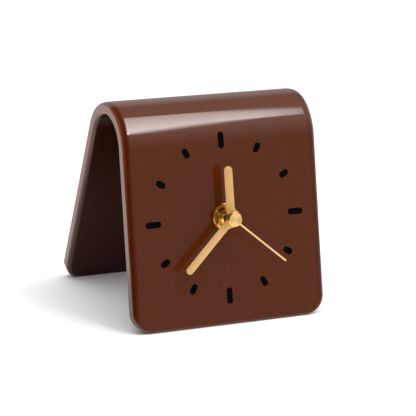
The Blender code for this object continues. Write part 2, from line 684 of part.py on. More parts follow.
def pinion_span(depth, thickness=WHEEL_THICKNESS):
    """Front and back depth of a pinion that overlaps the wheel it drives."""
    return depth - PINION_OVERLAP, depth + thickness + PINION_OVERLAP


def down(layers):
    """Layers given with depths become layers given with heights."""
    return [(outline, height(depth)) for outline, depth in layers]


def make_motion_work(dial):
    cannon_phase = REVERSE_DIRECTION
    reverse_phase = mesh_phase(REVERSE_DIRECTION, CANNON_PINION_TEETH, cannon_phase, REVERSE_WHEEL_TEETH)
    leaf_phase = REVERSE_DIRECTION + math.pi
    hour_phase = mesh_phase(leaf_phase, REVERSE_PINION_TEETH, leaf_phase, HOUR_WHEEL_TEETH)
    knob_phase = mesh_phase(KNOB_DIRECTION, REVERSE_WHEEL_TEETH, reverse_phase, KNOB_PINION_TEETH)
    pipe = circle(MINUTE_PIPE_RADIUS)
    pipe_bore = small_circle(SECOND_ARBOR_RADIUS + HOLE_CLEARANCE)

    hour_back = HOUR_WHEEL_DEPTH + WHEEL_THICKNESS
    hour_layers = [(toothed(HOUR_WHEEL_TEETH, HOUR_MODULE, hour_phase), height(HOUR_WHEEL_DEPTH)),
                   (circle(HOUR_PIPE_RADIUS), HOUR_HAND_BACK + HAND_THICKNESS - PUSH_FIT_GAP)]
    stack("hour_wheel", height(hour_back), hour_layers, WHITE_RESIN,
          bores=[circle(MINUTE_PIPE_RADIUS + RUNNING_GAP)], parent=dial)

    cannon_front, cannon_back = pinion_span(REVERSE_WHEEL_DEPTH)
    minute_layers = [(pipe, height(cannon_back)),
                     (toothed(CANNON_PINION_TEETH, MOTION_MODULE, cannon_phase), height(cannon_front)),
                     (pipe, MINUTE_HAND_BACK + HAND_THICKNESS - PUSH_FIT_GAP)]
    pipe_end = CENTRE_WHEEL_DEPTH + WHEEL_THICKNESS + SEAT_GAP
    stack("minute_pipe", height(pipe_end), minute_layers, BRASS, bores=[pipe_bore], parent=dial)

    leaf_front = HOUR_WHEEL_DEPTH - PINION_OVERLAP
    reverse_layers = down([(toothed(REVERSE_WHEEL_TEETH, MOTION_MODULE, reverse_phase), REVERSE_WHEEL_DEPTH),
                           (toothed(REVERSE_PINION_TEETH, HOUR_MODULE, leaf_phase), leaf_front)])
    stack("reverse_wheel", height(REVERSE_WHEEL_DEPTH + WHEEL_THICKNESS), reverse_layers, WHITE_RESIN,
          bores=[small_circle(STUD_RADIUS + HOLE_CLEARANCE)], parent=dial, place=REVERSE_PLACE)

    tip_front = cannon_front - SEAT_GAP - PIVOT_SOCKET_DEPTH + HOLE_CLEARANCE
    knob_back = CASE_DEPTH + RUNNING_GAP + KNOB_THICKNESS
    knob_layers = down([(scalloped_knob(), CASE_DEPTH + RUNNING_GAP),
                        (circle(KNOB_STEM_RADIUS), cannon_back),
                        (toothed(KNOB_PINION_TEETH, MOTION_MODULE, knob_phase), cannon_front),
                        (small_circle(PIVOT_RADIUS), tip_front)])
    stack("setting_knob", height(knob_back), knob_layers, BLACK_CASE, parent=dial, place=KNOB_PLACE)


def scalloped_knob():
    points = []
    for step in range(2 * KNOB_SCALLOPS):
        share = 1.0 if step % 2 else SCALLOP_DEPTH_SHARE
        points.append(polar(KNOB_RADIUS * share, math.pi * step / KNOB_SCALLOPS))
    return points


def make_going_train(dial):
    centre_phase = THIRD_DIRECTION
    third_leaf_phase = mesh_phase(THIRD_DIRECTION, CENTRE_WHEEL_TEETH, centre_phase, THIRD_PINION_TEETH)
    second_leaf_phase = THIRD_DIRECTION
    third_phase = mesh_phase(THIRD_DIRECTION, SECOND_PINION_TEETH, second_leaf_phase, THIRD_WHEEL_TEETH)
    second_phase = FIFTH_DIRECTION
    fifth_leaf_phase = mesh_phase(FIFTH_DIRECTION, SECOND_WHEEL_TEETH, second_phase, FIFTH_PINION_TEETH)
    fifth_phase = ROTOR_DIRECTION
    rotor_phase = mesh_phase(ROTOR_DIRECTION, FIFTH_WHEEL_TEETH, fifth_phase, ROTOR_PINION_TEETH)
    pivot = small_circle(PIVOT_RADIUS)
    arbor = small_circle(ARBOR_RADIUS)
    lid_inside = CASE_DEPTH - LID_THICKNESS
    rear_tip = lid_inside - LID_BOSS_HEIGHT + PIVOT_SOCKET_DEPTH - HOLE_CLEARANCE
    rear_shoulder = lid_inside - LID_BOSS_HEIGHT - SEAT_GAP

    centre_back = CENTRE_WHEEL_DEPTH + WHEEL_THICKNESS
    centre_outline = toothed(CENTRE_WHEEL_TEETH, CENTRE_MODULE, centre_phase)
    stack("centre_wheel", height(centre_back), [(centre_outline, height(CENTRE_WHEEL_DEPTH))], BRASS,
          bores=[circle(MINUTE_PIPE_RADIUS + PUSH_FIT_GAP)], parent=dial)

    third_front, third_back = pinion_span(CENTRE_WHEEL_DEPTH)
    third_tip = third_front - SEAT_GAP - PIVOT_SOCKET_DEPTH + HOLE_CLEARANCE
    third_layers = down([(pivot, THIRD_WHEEL_DEPTH + WHEEL_THICKNESS),
                         (toothed(THIRD_WHEEL_TEETH, SECOND_MODULE, third_phase), THIRD_WHEEL_DEPTH),
                         (arbor, third_back),
                         (toothed(THIRD_PINION_TEETH, CENTRE_MODULE, third_leaf_phase), third_front),
                         (pivot, third_tip)])
    third_end = MIDDLE_PLATE_DEPTH + MIDDLE_PLATE_THICKNESS
    stack("third_wheel", height(third_end), third_layers, WHITE_RESIN, parent=dial, place=THIRD_PLACE)

    leaf_front, leaf_back = pinion_span(THIRD_WHEEL_DEPTH)
    second_layers = down([(arbor, SECOND_WHEEL_DEPTH + WHEEL_THICKNESS),
                          (toothed(SECOND_WHEEL_TEETH, FIFTH_MODULE, second_phase), SECOND_WHEEL_DEPTH),
                          (arbor, leaf_back),
                          (toothed(SECOND_PINION_TEETH, SECOND_MODULE, second_leaf_phase), leaf_front)])
    second_layers.insert(0, (pivot, height(rear_shoulder)))
    second_layers.append((small_circle(SECOND_ARBOR_RADIUS), CAP_BACK + CAP_SOCKET_DEPTH - HOLE_CLEARANCE))
    stack("second_wheel", height(rear_tip), second_layers, WHITE_RESIN, parent=dial)

    leaf_front, leaf_back = pinion_span(SECOND_WHEEL_DEPTH)
    fifth_layers = down([(pivot, rear_shoulder),
                         (arbor, FIFTH_WHEEL_DEPTH + WHEEL_THICKNESS),
                         (toothed(FIFTH_WHEEL_TEETH, ROTOR_MODULE, fifth_phase), FIFTH_WHEEL_DEPTH),
                         (arbor, leaf_back),
                         (toothed(FIFTH_PINION_TEETH, FIFTH_MODULE, fifth_leaf_phase), leaf_front),
                         (pivot, MIDDLE_PLATE_DEPTH)])
    stack("fifth_wheel", height(rear_tip), fifth_layers, WHITE_RESIN, parent=dial, place=FIFTH_PLACE)

    leaf_front, leaf_back = pinion_span(FIFTH_WHEEL_DEPTH)
    shoulder = MIDDLE_PLATE_DEPTH + MIDDLE_PLATE_THICKNESS + SEAT_GAP
    rotor_layers = down([(pivot, rear_shoulder),
                         (arbor, leaf_back),
                         (toothed(ROTOR_PINION_TEETH, ROTOR_MODULE, rotor_phase), leaf_front),
                         (arbor, shoulder),
                         (pivot, MIDDLE_PLATE_DEPTH)])
    stack("rotor_pinion", height(rear_tip), rotor_layers, WHITE_RESIN, parent=dial, place=ROTOR_PLACE)
    magnet_back = ROTOR_MAGNET_DEPTH + MAGNET_THICKNESS
    stack("rotor_magnet", height(magnet_back), [(circle(MAGNET_RADIUS), height(ROTOR_MAGNET_DEPTH))],
          MAGNET_GREY, bores=[small_circle(ARBOR_RADIUS + PUSH_FIT_GAP)], parent=dial, place=ROTOR_PLACE)


# Motor and circuit

def make_stator(dial):
    """A flat yoke: a pole ring round the rotor, a bar through it and a leg up at each end."""
    low = ROTOR_PLACE.y - STATOR_BAR_HALF_WIDTH
    high = ROTOR_PLACE.y + STATOR_BAR_HALF_WIDTH
    swing = math.asin(STATOR_BAR_HALF_WIDTH / STATOR_POLE_RADIUS)
    leg_top = COIL_UP + STATOR_LEG_WIDTH / 2
    left = STATOR_LEFT
    right = STATOR_RIGHT
    corners = [(right, low), (right, leg_top),
               (right - STATOR_LEG_WIDTH, leg_top), (right - STATOR_LEG_WIDTH, high)]
    mirrored = [(left + STATOR_LEG_WIDTH, high), (left + STATOR_LEG_WIDTH, leg_top),
                (left, leg_top), (left, low)]
    outline = [Vector(corner) for corner in corners]
    outline += arc(ROTOR_PLACE, STATOR_POLE_RADIUS, swing, math.pi - swing, 8)
    outline += [Vector(corner) for corner in mirrored]
    outline += arc(ROTOR_PLACE, STATOR_POLE_RADIUS, math.pi + swing, 2 * math.pi - swing, 8)
    back = height(STATOR_DEPTH + STATOR_THICKNESS)
    stack("stator_yoke", back, [(outline, back + STATOR_THICKNESS)], STEEL,
          bores=[circle(MAGNET_RADIUS + RUNNING_GAP, CIRCLE_STEPS, ROTOR_PLACE)], parent=dial)


def lay_along_x(made, up, depth):
    """Turn a piece that was modelled along z so that it lies along the dial's x axis."""
    made.rotation_euler = (0, math.pi / 2, 0)
    made.location.y = up
    made.location.z = height(depth)


def make_coil(dial):
    depth = STATOR_DEPTH + STATOR_THICKNESS / 2
    half = COIL_LENGTH / 2 - SEAT_GAP
    bore = small_circle(COIL_CORE_RADIUS + HOLE_CLEARANCE)
    flange = circle(BOBBIN_FLANGE_RADIUS)
    barrel = circle(BOBBIN_BARREL_RADIUS)
    inner = half - BOBBIN_FLANGE
    layers = [(flange, -inner), (barrel, inner), (flange, half)]
    place = (ROTOR_PLACE.x, 0)
    lay_along_x(stack("coil_bobbin", -half, layers, WHITE_RESIN, bores=[bore], parent=dial, place=place),
                COIL_UP, depth)
    wound = inner - SEAT_GAP
    lay_along_x(stack("coil_winding", -wound, [(circle(WINDING_RADIUS), wound)], COPPER,
                      bores=[circle(BOBBIN_BARREL_RADIUS + HOLE_CLEARANCE)], parent=dial, place=place),
                COIL_UP, depth)
    lay_along_x(stack("coil_core", -half, [(small_circle(COIL_CORE_RADIUS), half)], STEEL,
                      parent=dial, place=place), COIL_UP, depth)


def make_circuit(dial):
    right = BOARD_LEFT + BOARD_WIDTH
    bottom = BOARD_TOP - BOARD_HEIGHT
    outline = rounded_rectangle(BOARD_LEFT, bottom, right, BOARD_TOP, BOARD_MARGIN)
    board_back = BOARD_DEPTH + BOARD_THICKNESS
    stack("circuit_board", height(board_back), [(outline, height(BOARD_DEPTH))], BOARD_GREEN, parent=dial)
    middle = BOARD_TOP - BOARD_HEIGHT / 2
    chip_place = Vector((BOARD_LEFT + BOARD_WIDTH / 4, middle))
    chip_front = board_back + SEAT_GAP
    shoulder = circle(CHIP_RADIUS)
    crown = circle(CHIP_RADIUS * CHIP_CROWN_SHARE)
    stack("clock_chip", height(chip_front + CHIP_HEIGHT),
          [(crown, height(chip_front + CHIP_HEIGHT / 2)), (shoulder, height(chip_front))],
          BLACK_CASE, parent=dial, place=chip_place)
    can = stack("quartz_crystal", -CRYSTAL_LENGTH / 2, [(circle(CRYSTAL_RADIUS), CRYSTAL_LENGTH / 2)],
                STEEL, parent=dial, place=(right - BOARD_WIDTH / 4, 0))
    lay_along_x(can, middle, board_back + SEAT_GAP + CRYSTAL_RADIUS)


# Battery and contacts

def make_battery(dial):
    half = BATTERY_LENGTH / 2
    can = wide_circle(BATTERY_RADIUS)
    shoulder = wide_circle(BATTERY_RADIUS - BATTERY_SHOULDER)
    nub = wide_circle(BATTERY_NUB_RADIUS)
    layers = [(shoulder, -half + BATTERY_SHOULDER),
              (can, half - BATTERY_NUB_LENGTH - BATTERY_SHOULDER),
              (shoulder, half - BATTERY_NUB_LENGTH),
              (nub, half)]
    lay_along_x(stack("battery_cell", -half, layers, BATTERY_SLEEVE, parent=dial), BATTERY_UP, BATTERY_DEPTH)


def contact_outline(side):
    """A bowed leaf seen along the dial's y axis, between the bay's end wall and the battery."""
    wall = CASE_INSIDE - SEAT_GAP
    tip = BATTERY_LENGTH / 2 + SEAT_GAP + CONTACT_THICKNESS
    reach = CONTACT_BOW_SPAN / 2
    tail = reach + CONTACT_TAIL
    spine = ((wall, -tail), (tip, -reach), (tip, reach), (wall, tail))
    near = [(x - CONTACT_THICKNESS, y) for x, y in reversed(spine)]
    return [Vector((side * x, y)) for x, y in (*spine, *near)]


def make_contacts(dial):
    for name, side in (("battery_contact_positive", 1), ("battery_contact_negative", -1)):
        half = CONTACT_WIDTH / 2
        leaf = stack(name, -half, [(contact_outline(side), half)], STEEL, parent=dial)
        leaf.rotation_euler = (math.pi / 2, 0, 0)
        leaf.location = (0, BATTERY_UP, height(BATTERY_DEPTH))


# Assembly

def clear_scene():
    for old in list(bpy.data.objects):
        bpy.data.objects.remove(old, do_unlink=True)


def make_dial_frame():
    frame = bpy.data.objects.new("dial_frame", None)
    bpy.context.collection.objects.link(frame)
    frame.location = slab_point(0, DIAL_CENTRE_UP, 0)
    frame.rotation_euler = (math.pi / 2 - FRONT_LEAN, 0, 0)
    return frame


def centre_on_origin(carrier):
    """Move the whole clock so that the origin is under the middle of its bounding box."""
    bpy.context.view_layer.update()
    depths = []
    for made in bpy.data.objects:
        if made.type == "MESH" and not made.hide_render:
            depths += [(made.matrix_world @ Vector(corner)).y for corner in made.bound_box]
    carrier.location.y -= (min(depths) + max(depths)) / 2


def build_clock():
    clear_scene()
    carrier = bpy.data.objects.new("clock", None)
    bpy.context.collection.objects.link(carrier)
    body = make_arch()
    dial = make_dial_frame()
    body.parent = carrier
    dial.parent = carrier
    make_dial(body, dial)
    make_bush_and_nut(dial)
    make_hands(dial)
    make_front_case(dial)
    make_rear_case(dial)
    make_middle_plate(dial)
    make_motion_work(dial)
    make_going_train(dial)
    make_stator(dial)
    make_coil(dial)
    make_circuit(dial)
    make_battery(dial)
    make_contacts(dial)
    centre_on_origin(carrier)


build_clock()
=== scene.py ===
# %% [markdown]
# # A ceramic desk clock, dressed for a studio photograph
#
# The clock is one thick slab of brown glazed clay, bent into an arch that stands on its two free edges.
# Black enamel bars mark the hours, and a battery movement behind the dial turns three brass hands.
#
# The measured model comes first, as a fixed frame: every wheel, joint and mount is already in it.
# This lesson only gives it looks. Where the measured piece has the right shape it stays and gets a finish,
# and where the eye comes close, a finer piece is modelled in its place.

# %% Load the measured model
import json
import math

import bmesh
import bpy
from mathutils import Matrix, Vector


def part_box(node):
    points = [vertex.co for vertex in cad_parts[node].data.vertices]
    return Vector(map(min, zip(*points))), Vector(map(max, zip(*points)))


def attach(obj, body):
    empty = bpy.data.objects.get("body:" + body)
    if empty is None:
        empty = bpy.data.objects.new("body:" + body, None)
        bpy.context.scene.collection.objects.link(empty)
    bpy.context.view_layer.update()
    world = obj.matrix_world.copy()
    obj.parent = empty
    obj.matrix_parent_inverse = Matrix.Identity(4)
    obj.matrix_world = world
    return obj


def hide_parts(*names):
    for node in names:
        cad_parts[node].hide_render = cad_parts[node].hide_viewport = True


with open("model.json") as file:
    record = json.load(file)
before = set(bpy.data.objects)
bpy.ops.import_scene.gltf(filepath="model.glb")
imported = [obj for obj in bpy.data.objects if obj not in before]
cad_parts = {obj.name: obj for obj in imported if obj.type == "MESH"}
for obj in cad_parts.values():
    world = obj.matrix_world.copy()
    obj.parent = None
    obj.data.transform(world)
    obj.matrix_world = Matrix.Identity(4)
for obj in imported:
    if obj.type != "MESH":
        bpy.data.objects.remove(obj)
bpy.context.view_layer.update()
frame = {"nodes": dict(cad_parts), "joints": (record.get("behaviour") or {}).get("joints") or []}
nodes = frame["nodes"]

# %% [markdown]
# ## The clock's own sizes
#
# The slab's sizes are the potter's drawing: its wall, the lean of each leg, the radius of the bend and how
# far the corners are rounded. Each leg's outer side stops a little above the table, so the level cut under
# the clock only takes the lower inner corner of its end. The dial has a frame of its own, with x to the
# right, y up the face and z out of it, because everything on it is easier to make lying flat on the bench.
# The hinge of the second hand already says where that frame is, and the lean of the front leg says which
# way it looks.

# %% Sizes and the dial's frame
MM = 0.001
WIDTH = 99.4 * MM
HEIGHT = 101.5 * MM
WALL = 6.2 * MM
BEND = 22 * MM
CORNER = 9.5 * MM
FRONT_LEAN = math.radians(13.0)
REAR_LEAN = math.radians(21.1)
TURN = math.pi - FRONT_LEAN - REAR_LEAN
FOOT_SHORT = 0.8 * MM

bend_height = HEIGHT - BEND
front_run = (bend_height + BEND * math.sin(FRONT_LEAN)) / math.cos(FRONT_LEAN)
rear_run = (bend_height + BEND * math.sin(REAR_LEAN)) / math.cos(REAR_LEAN)

hand_joint = next(joint for joint in frame["joints"] if joint["name"] == "second_hand_turn")
dial_centre = Vector(hand_joint["pos_m"])
to_dial = Matrix.Translation(dial_centre) @ Matrix.Rotation(math.pi / 2 - FRONT_LEAN, 4, "X")
face_out = (to_dial.to_3x3() @ Vector((0, 0, 1))).normalized()
face_up = (to_dial.to_3x3() @ Vector((0, 1, 0))).normalized()


def dial_box(node):
    """Lowest and highest point of a measured node, in the dial's frame."""
    points = [to_dial.inverted() @ vertex.co for vertex in nodes[node].data.vertices]
    low = Vector([min(point[axis] for point in points) for axis in range(3)])
    high = Vector([max(point[axis] for point in points) for axis in range(3)])
    return low, high


print("flat slab", round((front_run + BEND * TURN + rear_run) / MM, 1), "mm long, dial centre", dial_centre)

# %% [markdown]
# ## Small helpers for the bench
#
# Blender's modelling operators act on whatever is selected, so a few helpers keep that under control.
# `fresh` deselects everything before a primitive is added, and `take` then selects one piece alone. `pick`
# goes through the points, edges or faces of the mesh in edit mode and selects those that pass a test.

# %% Selecting a piece, or a part of it
def fresh():
    if bpy.context.object and bpy.context.object.mode != "OBJECT":
        bpy.ops.object.mode_set(mode="OBJECT")
    bpy.ops.object.select_all(action="DESELECT")


def take(piece):
    fresh()
    bpy.context.view_layer.objects.active = piece
    piece.select_set(True)


def edit(piece):
    take(piece)
    bpy.ops.object.mode_set(mode="EDIT")
    bpy.ops.mesh.select_all(action="SELECT")


def done():
    bpy.ops.object.mode_set(mode="OBJECT")


def pick(kind, test):
    """In edit mode, select only the elements of one kind for which the test holds, and count them."""
    bpy.ops.mesh.select_mode(type=kind)
    bpy.ops.mesh.select_all(action="DESELECT")
    mesh = bmesh.from_edit_mesh(bpy.context.object.data)
    elements = {"VERT": mesh.verts, "EDGE": mesh.edges, "FACE": mesh.faces}[kind]
    found = [element for element in elements if test(element)]
    for element in found:
        element.select_set(True)
    bmesh.update_edit_mesh(bpy.context.object.data)
    return len(found)


selected = len(bpy.context.selected_objects)
fresh()
print("selected after loading:", selected, "and now:", len(bpy.context.selected_objects))

# %% [markdown]
# A test is a small question about one face or edge: does it look up, does it lie high enough, is it a real
# corner. The same questions come back for every turned or stamped piece. So does the extrusion that pulls a
# face up into the next step of a piece, and the bevel that breaks its edges, because metal and clay never
# leave the workshop with a knife edge.

# %% Tests, pulling up and breaking edges
NEAR = 0.01 * MM


def looks_up(face):
    return face.normal.z > 0.99


def looks_down(face):
    return face.normal.z < -0.99


def lies_above(height):
    """Test for edges whose two ends both lie above a height."""
    return lambda edge: min(vert.co.z for vert in edge.verts) > height


def shows_edge(low, high):
    """Test for edges whose two faces meet at an angle between two numbers of degrees."""
    return lambda edge: len(edge.link_faces) == 2 and low < math.degrees(edge.calc_face_angle(0)) < high


def pull_up(height, wider=1.0):
    """Extrude what is selected upwards, and make its new end wider or narrower."""
    bpy.ops.mesh.extrude_region_move(TRANSFORM_OT_translate={"value": (0, 0, height)})
    bpy.ops.transform.resize(value=(wider, wider, 1), center_override=(0, 0, 0))


def break_edges(test, width, segments=3, clamp=False):
    found = pick("EDGE", test)
    bpy.ops.mesh.bevel(offset=width, segments=segments, clamp_overlap=clamp)
    return found


print("points closer than", NEAR / MM, "mm count as one place")

# %% [markdown]
# New pieces start on the bench, at the origin. Most of them are round, so one helper adds a cylinder that
# stands on a given height. A modifier is applied as soon as it is added, and a piece that is done is
# settled: it is moved to its place, and the place is left in its mesh, as it is in the measured pieces.

# %% Making, cutting and placing
def named(name):
    """Name the new piece and put its place into its mesh, so that edit mode sees the bench's heights."""
    piece = bpy.context.object
    bpy.ops.object.transform_apply()
    piece.name = name
    piece.data.name = name
    return piece


def cylinder(name, radius, height, bottom=0.0, steps=96):
    fresh()
    bpy.ops.mesh.primitive_cylinder_add(vertices=steps, radius=radius, depth=height,
                                        location=(0, 0, bottom + height / 2))
    return named(name)


def modify(piece, kind, **settings):
    take(piece)
    modifier = piece.modifiers.new(kind, kind)
    for setting, value in settings.items():
        setattr(modifier, setting, value)
    bpy.ops.object.modifier_apply(modifier=modifier.name)


def carve(piece, tool, operation="DIFFERENCE"):
    """Shape a piece with a tool, and put the tool away."""
    modify(piece, "BOOLEAN", object=tool, operation=operation, solver="EXACT")
    bpy.data.objects.remove(tool)


def settle(piece, matrix):
    take(piece)
    piece.matrix_world = matrix
    bpy.ops.object.transform_apply()
    return piece


def smooth(piece, degrees=35):
    take(piece)
    bpy.ops.object.shade_smooth_by_angle(angle=math.radians(degrees))


print("bench ready")

# %% [markdown]
# ## Finishes are node trees
#
# A finish is a small network of nodes round one Principled shader. `add_node` adds a node, fills in its
# sockets and hands back its outputs. A socket can take a plain value or the output of another node, so a
# tree reads from the pattern to the shader. Colours are written as the hex numbers that a colour picker
# shows, and `colour` turns them into the linear light that the shader works in. A colour ramp is given as
# its stops, from left to right. Where a ramp is only a curve, its stops have plain numbers for colours.

# %% Colour, nodes and coordinates
def colour(code):
    parts = [int(code[place:place + 2], 16) / 255 for place in (1, 3, 5)]
    linear = [part / 12.92 if part <= 0.04045 else ((part + 0.055) / 1.055) ** 2.4 for part in parts]
    return (*linear, 1.0)


def fill(node, sockets):
    """Fill or link sockets by name or number."""
    for name, value in sockets.items():
        if isinstance(value, bpy.types.NodeSocket):
            node.id_data.links.new(value, node.inputs[name])
        else:
            node.inputs[name].default_value = value


def add_node(tree, kind, sockets=None, stops=(), **settings):
    """Add a shader node with its options, its sockets and, on a ramp, its stops, and return its outputs."""
    node = tree.nodes.new("ShaderNode" + kind)
    for setting, value in settings.items():
        setattr(node, setting, value)
    fill(node, sockets or {})
    for number, (place, tone) in enumerate(stops):
        ramp = node.color_ramp.elements
        stop = ramp[number] if number < 2 else ramp.new(place)
        stop.position = place
        stop.color = colour(tone) if isinstance(tone, str) else (tone, tone, tone, 1.0)
    return node.outputs


def new_finish(name):
    material = bpy.data.materials.new(name)
    material.use_nodes = True
    return material, material.node_tree, material.node_tree.nodes["Principled BSDF"]


def millimetres(tree, place=(0, 0, 0), turn=(0, 0, 0)):
    """Object coordinates in millimetres, seen from a frame with this place and turn."""
    here = add_node(tree, "TexCoord")["Object"]
    return add_node(tree, "Mapping", {"Vector": here, "Location": place, "Rotation": turn,
                                      "Scale": (MM, MM, MM)}, vector_type="TEXTURE")[0]


def on_dial(tree, turn=0.0):
    """Millimetres on the dial, with y along a hand that stands at this clock angle."""
    upright = millimetres(tree, dial_centre, (math.pi / 2 - FRONT_LEAN, 0, 0))
    return add_node(tree, "Mapping", {"Vector": upright, "Rotation": (0, 0, turn)})[0]


print("colour check", [round(part, 3) for part in colour("#808080")])

# %% [markdown]
# ## Brown glaze
#
# The glaze is glass with iron in it, poured over the clay. Where it lies thick it is a deep red brown, and
# where it runs off a rounded rim it is thin, so the clay shows through and the brown turns orange. A mask
# on the mesh says how near a point is to the rim, and a ramp turns it into the colour. Just inside the
# orange the ramp also has a darker band, which is painted shade where the rim curves away from the light
# and mirrors the dark room. The surface is glossy, so most of what the eye sees is reflection: a very low,
# slow bump lets the reflections swim a little, as they do on fired glass, and a faint cloudiness keeps the
# colour from being flat. Inside the arch a second mask darkens the colour, which is painted shade for the
# shadow under the bend, and the glaze there has a duller skin.

# %% Brown glaze over clay
def brown_glaze(name, gleam):
    material, tree, shader = new_finish(name)
    spot = millimetres(tree)
    rim = add_node(tree, "Attribute", attribute_name="thin_glaze_and_rim_shade")["Fac"]
    drift = add_node(tree, "TexNoise", {"Vector": spot, "Scale": 0.05, "Detail": 3.0})["Fac"]
    run = add_node(tree, "Math", {0: drift, 1: 0.16, 2: rim}, operation="MULTIPLY_ADD")[0]
    # The stop at 0.6 is painted shade: a band darker than the thick glaze, just inside the orange rim.
    thick_to_thin_with_rim_shade = ((0.16, "#5E290A"), (0.6, "#4C1D06"), (0.8, "#7A3716"), (1.0, "#9A4A22"))
    ramp = add_node(tree, "ValToRGB", {"Fac": run}, stops=thick_to_thin_with_rim_shade)
    # The inner side's mask and the darker colour #421B0B are painted shade for the shadow inside the arch.
    inside = add_node(tree, "Attribute", attribute_name="painted_inside_shade")["Fac"]
    toned = add_node(tree, "Mix", {"Factor": inside, "A": ramp["Color"], "B": colour("#421B0B")},
                     data_type="RGBA")["Result"]
    cloud = add_node(tree, "TexNoise", {"Vector": spot, "Scale": 0.35, "Detail": 5.0})["Fac"]
    shade, gloss = [add_node(tree, "MapRange", {"Value": cloud, "From Min": 0.3, "From Max": 0.7,
                                                "To Min": least, "To Max": most})[0]
                    for least, most in ((0.94, 1.06), (0.05, 0.08))]
    clouded = add_node(tree, "VectorMath", {0: toned, "Scale": shade}, operation="SCALE")["Vector"]
    swim = add_node(tree, "TexNoise", {"Vector": spot, "Scale": 0.09, "Detail": 1.0})["Fac"]
    bump = add_node(tree, "Bump", {"Height": swim, "Strength": 0.5, "Distance": 0.03 * MM})
    fill(shader, {"Base Color": clouded, "Roughness": gloss, "Normal": bump["Normal"], "IOR": 1.6,
                  "Specular IOR Level": gleam})
    return material


glaze = brown_glaze("brown glaze over clay", 0.5)
inner_glaze = brown_glaze("duller brown glaze inside the arch", 0.15)
print(glaze.name, "and", inner_glaze.name)

# %% [markdown]
# Most other finishes have one grain, at the scale of the real thing, that varies the colour and usually the
# gloss with it, and lifts the surface. The first of them is bare fired clay: the feet are wiped clean
# before firing so that they don't stick to the kiln shelf, and there the clock is evenly matt, a little
# speckled and slightly rough to the touch.

# %% A finish with one grain, and bare fired clay
def grained(name, tones, gloss, scale, depth, stretch_by=(1, 1, 1), detail=4.0, lift=0.6, **sockets):
    """Tones are the ramp's stops, gloss is the least and most roughness, and depth is in millimetres."""
    material, tree, shader = new_finish(name)
    spot = add_node(tree, "Mapping", {"Vector": millimetres(tree), "Scale": stretch_by})[0]
    grain = add_node(tree, "TexNoise", {"Vector": spot, "Scale": scale, "Detail": detail})["Fac"]
    ramp = add_node(tree, "ValToRGB", {"Fac": grain}, stops=tones)
    bump = add_node(tree, "Bump", {"Height": grain, "Strength": lift, "Distance": depth * MM})
    fill(shader, {"Base Color": ramp["Color"], "Normal": bump["Normal"], **sockets})
    if gloss:
        rough = add_node(tree, "MapRange", {"Value": grain, "To Min": gloss[0], "To Max": gloss[1]})[0]
        fill(shader, {"Roughness": rough})
    return material


clay = grained("bare fired clay", ((0.35, "#6E4A36"), (0.65, "#A5795C")), gloss=None, scale=1.6,
               depth=0.05, detail=6.0, Roughness=0.85)
print(clay.name)

# %% [markdown]
# ## The arch, made as a potter makes it
#
# A potter rolls a flat slab, rounds its corners and rims, and hangs it over a former to bend it. The same
# order works here. The flat slab stands upright with its outer side towards the viewer. Its corners are
# rounded by a bevel on the four corner points, and cuts across it give the bend its rows.

# %% Roll and trim the slab
BEND_ROWS = 48
WELD = 0.001 * MM

top_end = BEND * TURN / 2 + rear_run - FOOT_SHORT
low_end = -BEND * TURN / 2 - front_run + FOOT_SHORT
slab_middle = (top_end + low_end) / 2
slab_length = top_end - low_end

fresh()
bpy.ops.mesh.primitive_plane_add(size=1, location=(0, 0, 0), rotation=(math.pi / 2, 0, 0))
arch = named("ceramic_arch")
settle(arch, Matrix.Translation((0, 0, slab_middle)) @ Matrix.Diagonal((WIDTH, 1, slab_length, 1)))
edit(arch)
bpy.ops.mesh.bevel(offset=CORNER, segments=14, affect="VERTICES")
for row in range(BEND_ROWS + 1):
    bpy.ops.mesh.select_all(action="SELECT")
    level = BEND * TURN * (row / BEND_ROWS - 0.5)
    bpy.ops.mesh.bisect(plane_co=(0, 0, level), plane_no=(0, 0, 1), threshold=WELD)
done()
print("slab", len(arch.data.vertices), "points", [round(side / MM, 1) for side in arch.dimensions])

# %% [markdown]
# The rims are not quarter circles: the wet sponge drew the outer rim far inwards but hardly down. A bevel
# only makes round profiles, so the slab is stretched in its thickness first, bevelled, and squeezed back,
# which turns the circle into the right ellipse.

# %% Give it thickness and round its rims
RIM_REACH = 4.2 * MM
RIM_DROP = 1.2 * MM
INNER_REACH = 2.2 * MM
INNER_DROP = 1.6 * MM


def outline_of(side):
    """Test for edges between the slab's outer (-1) or inner (+1) side and its edge band."""
    def test(edge):
        if len(edge.link_faces) != 2:
            return False
        flat, band = sorted(edge.link_faces, key=lambda face: -face.normal.y * side)
        return flat.normal.y * side > 0.99 and abs(band.normal.y) < 0.3
    return test


def stretch(factor):
    bpy.ops.mesh.select_all(action="SELECT")
    bpy.ops.transform.resize(value=(1, factor, 1), center_override=(0, 0, 0))


edit(arch)
bpy.ops.mesh.extrude_region_move(TRANSFORM_OT_translate={"value": (0, WALL, 0)})
bpy.ops.mesh.select_all(action="SELECT")
bpy.ops.mesh.normals_make_consistent()
stretch(RIM_REACH / RIM_DROP)
outer_edges = break_edges(outline_of(-1), RIM_REACH, segments=16)
stretch(RIM_DROP / RIM_REACH * INNER_REACH / INNER_DROP)
inner_edges = break_edges(outline_of(1), INNER_REACH, segments=8)
stretch(INNER_DROP / INNER_REACH)
done()
print("rims", outer_edges, inner_edges, "edges;", [round(side / MM, 2) for side in arch.dimensions])

# %% [markdown]
# The front foot was not sponged: there the face runs straight down and only its last edge is broken. The
# same ellipse is drawn again on the outer points, with a reach that shrinks towards that end of the slab.

# %% Tighten the outer rim towards the front foot
FOOT_REACH_SHARE = 0.12
FOOT_BLEND = 15 * MM


def inset_from_outline(point):
    across = abs(point.x) - (WIDTH / 2 - CORNER)
    along = abs(point.z - slab_middle) - (slab_length / 2 - CORNER)
    if across > 0 and along > 0:
        return CORNER - math.hypot(across, along)
    return CORNER - max(across, along)


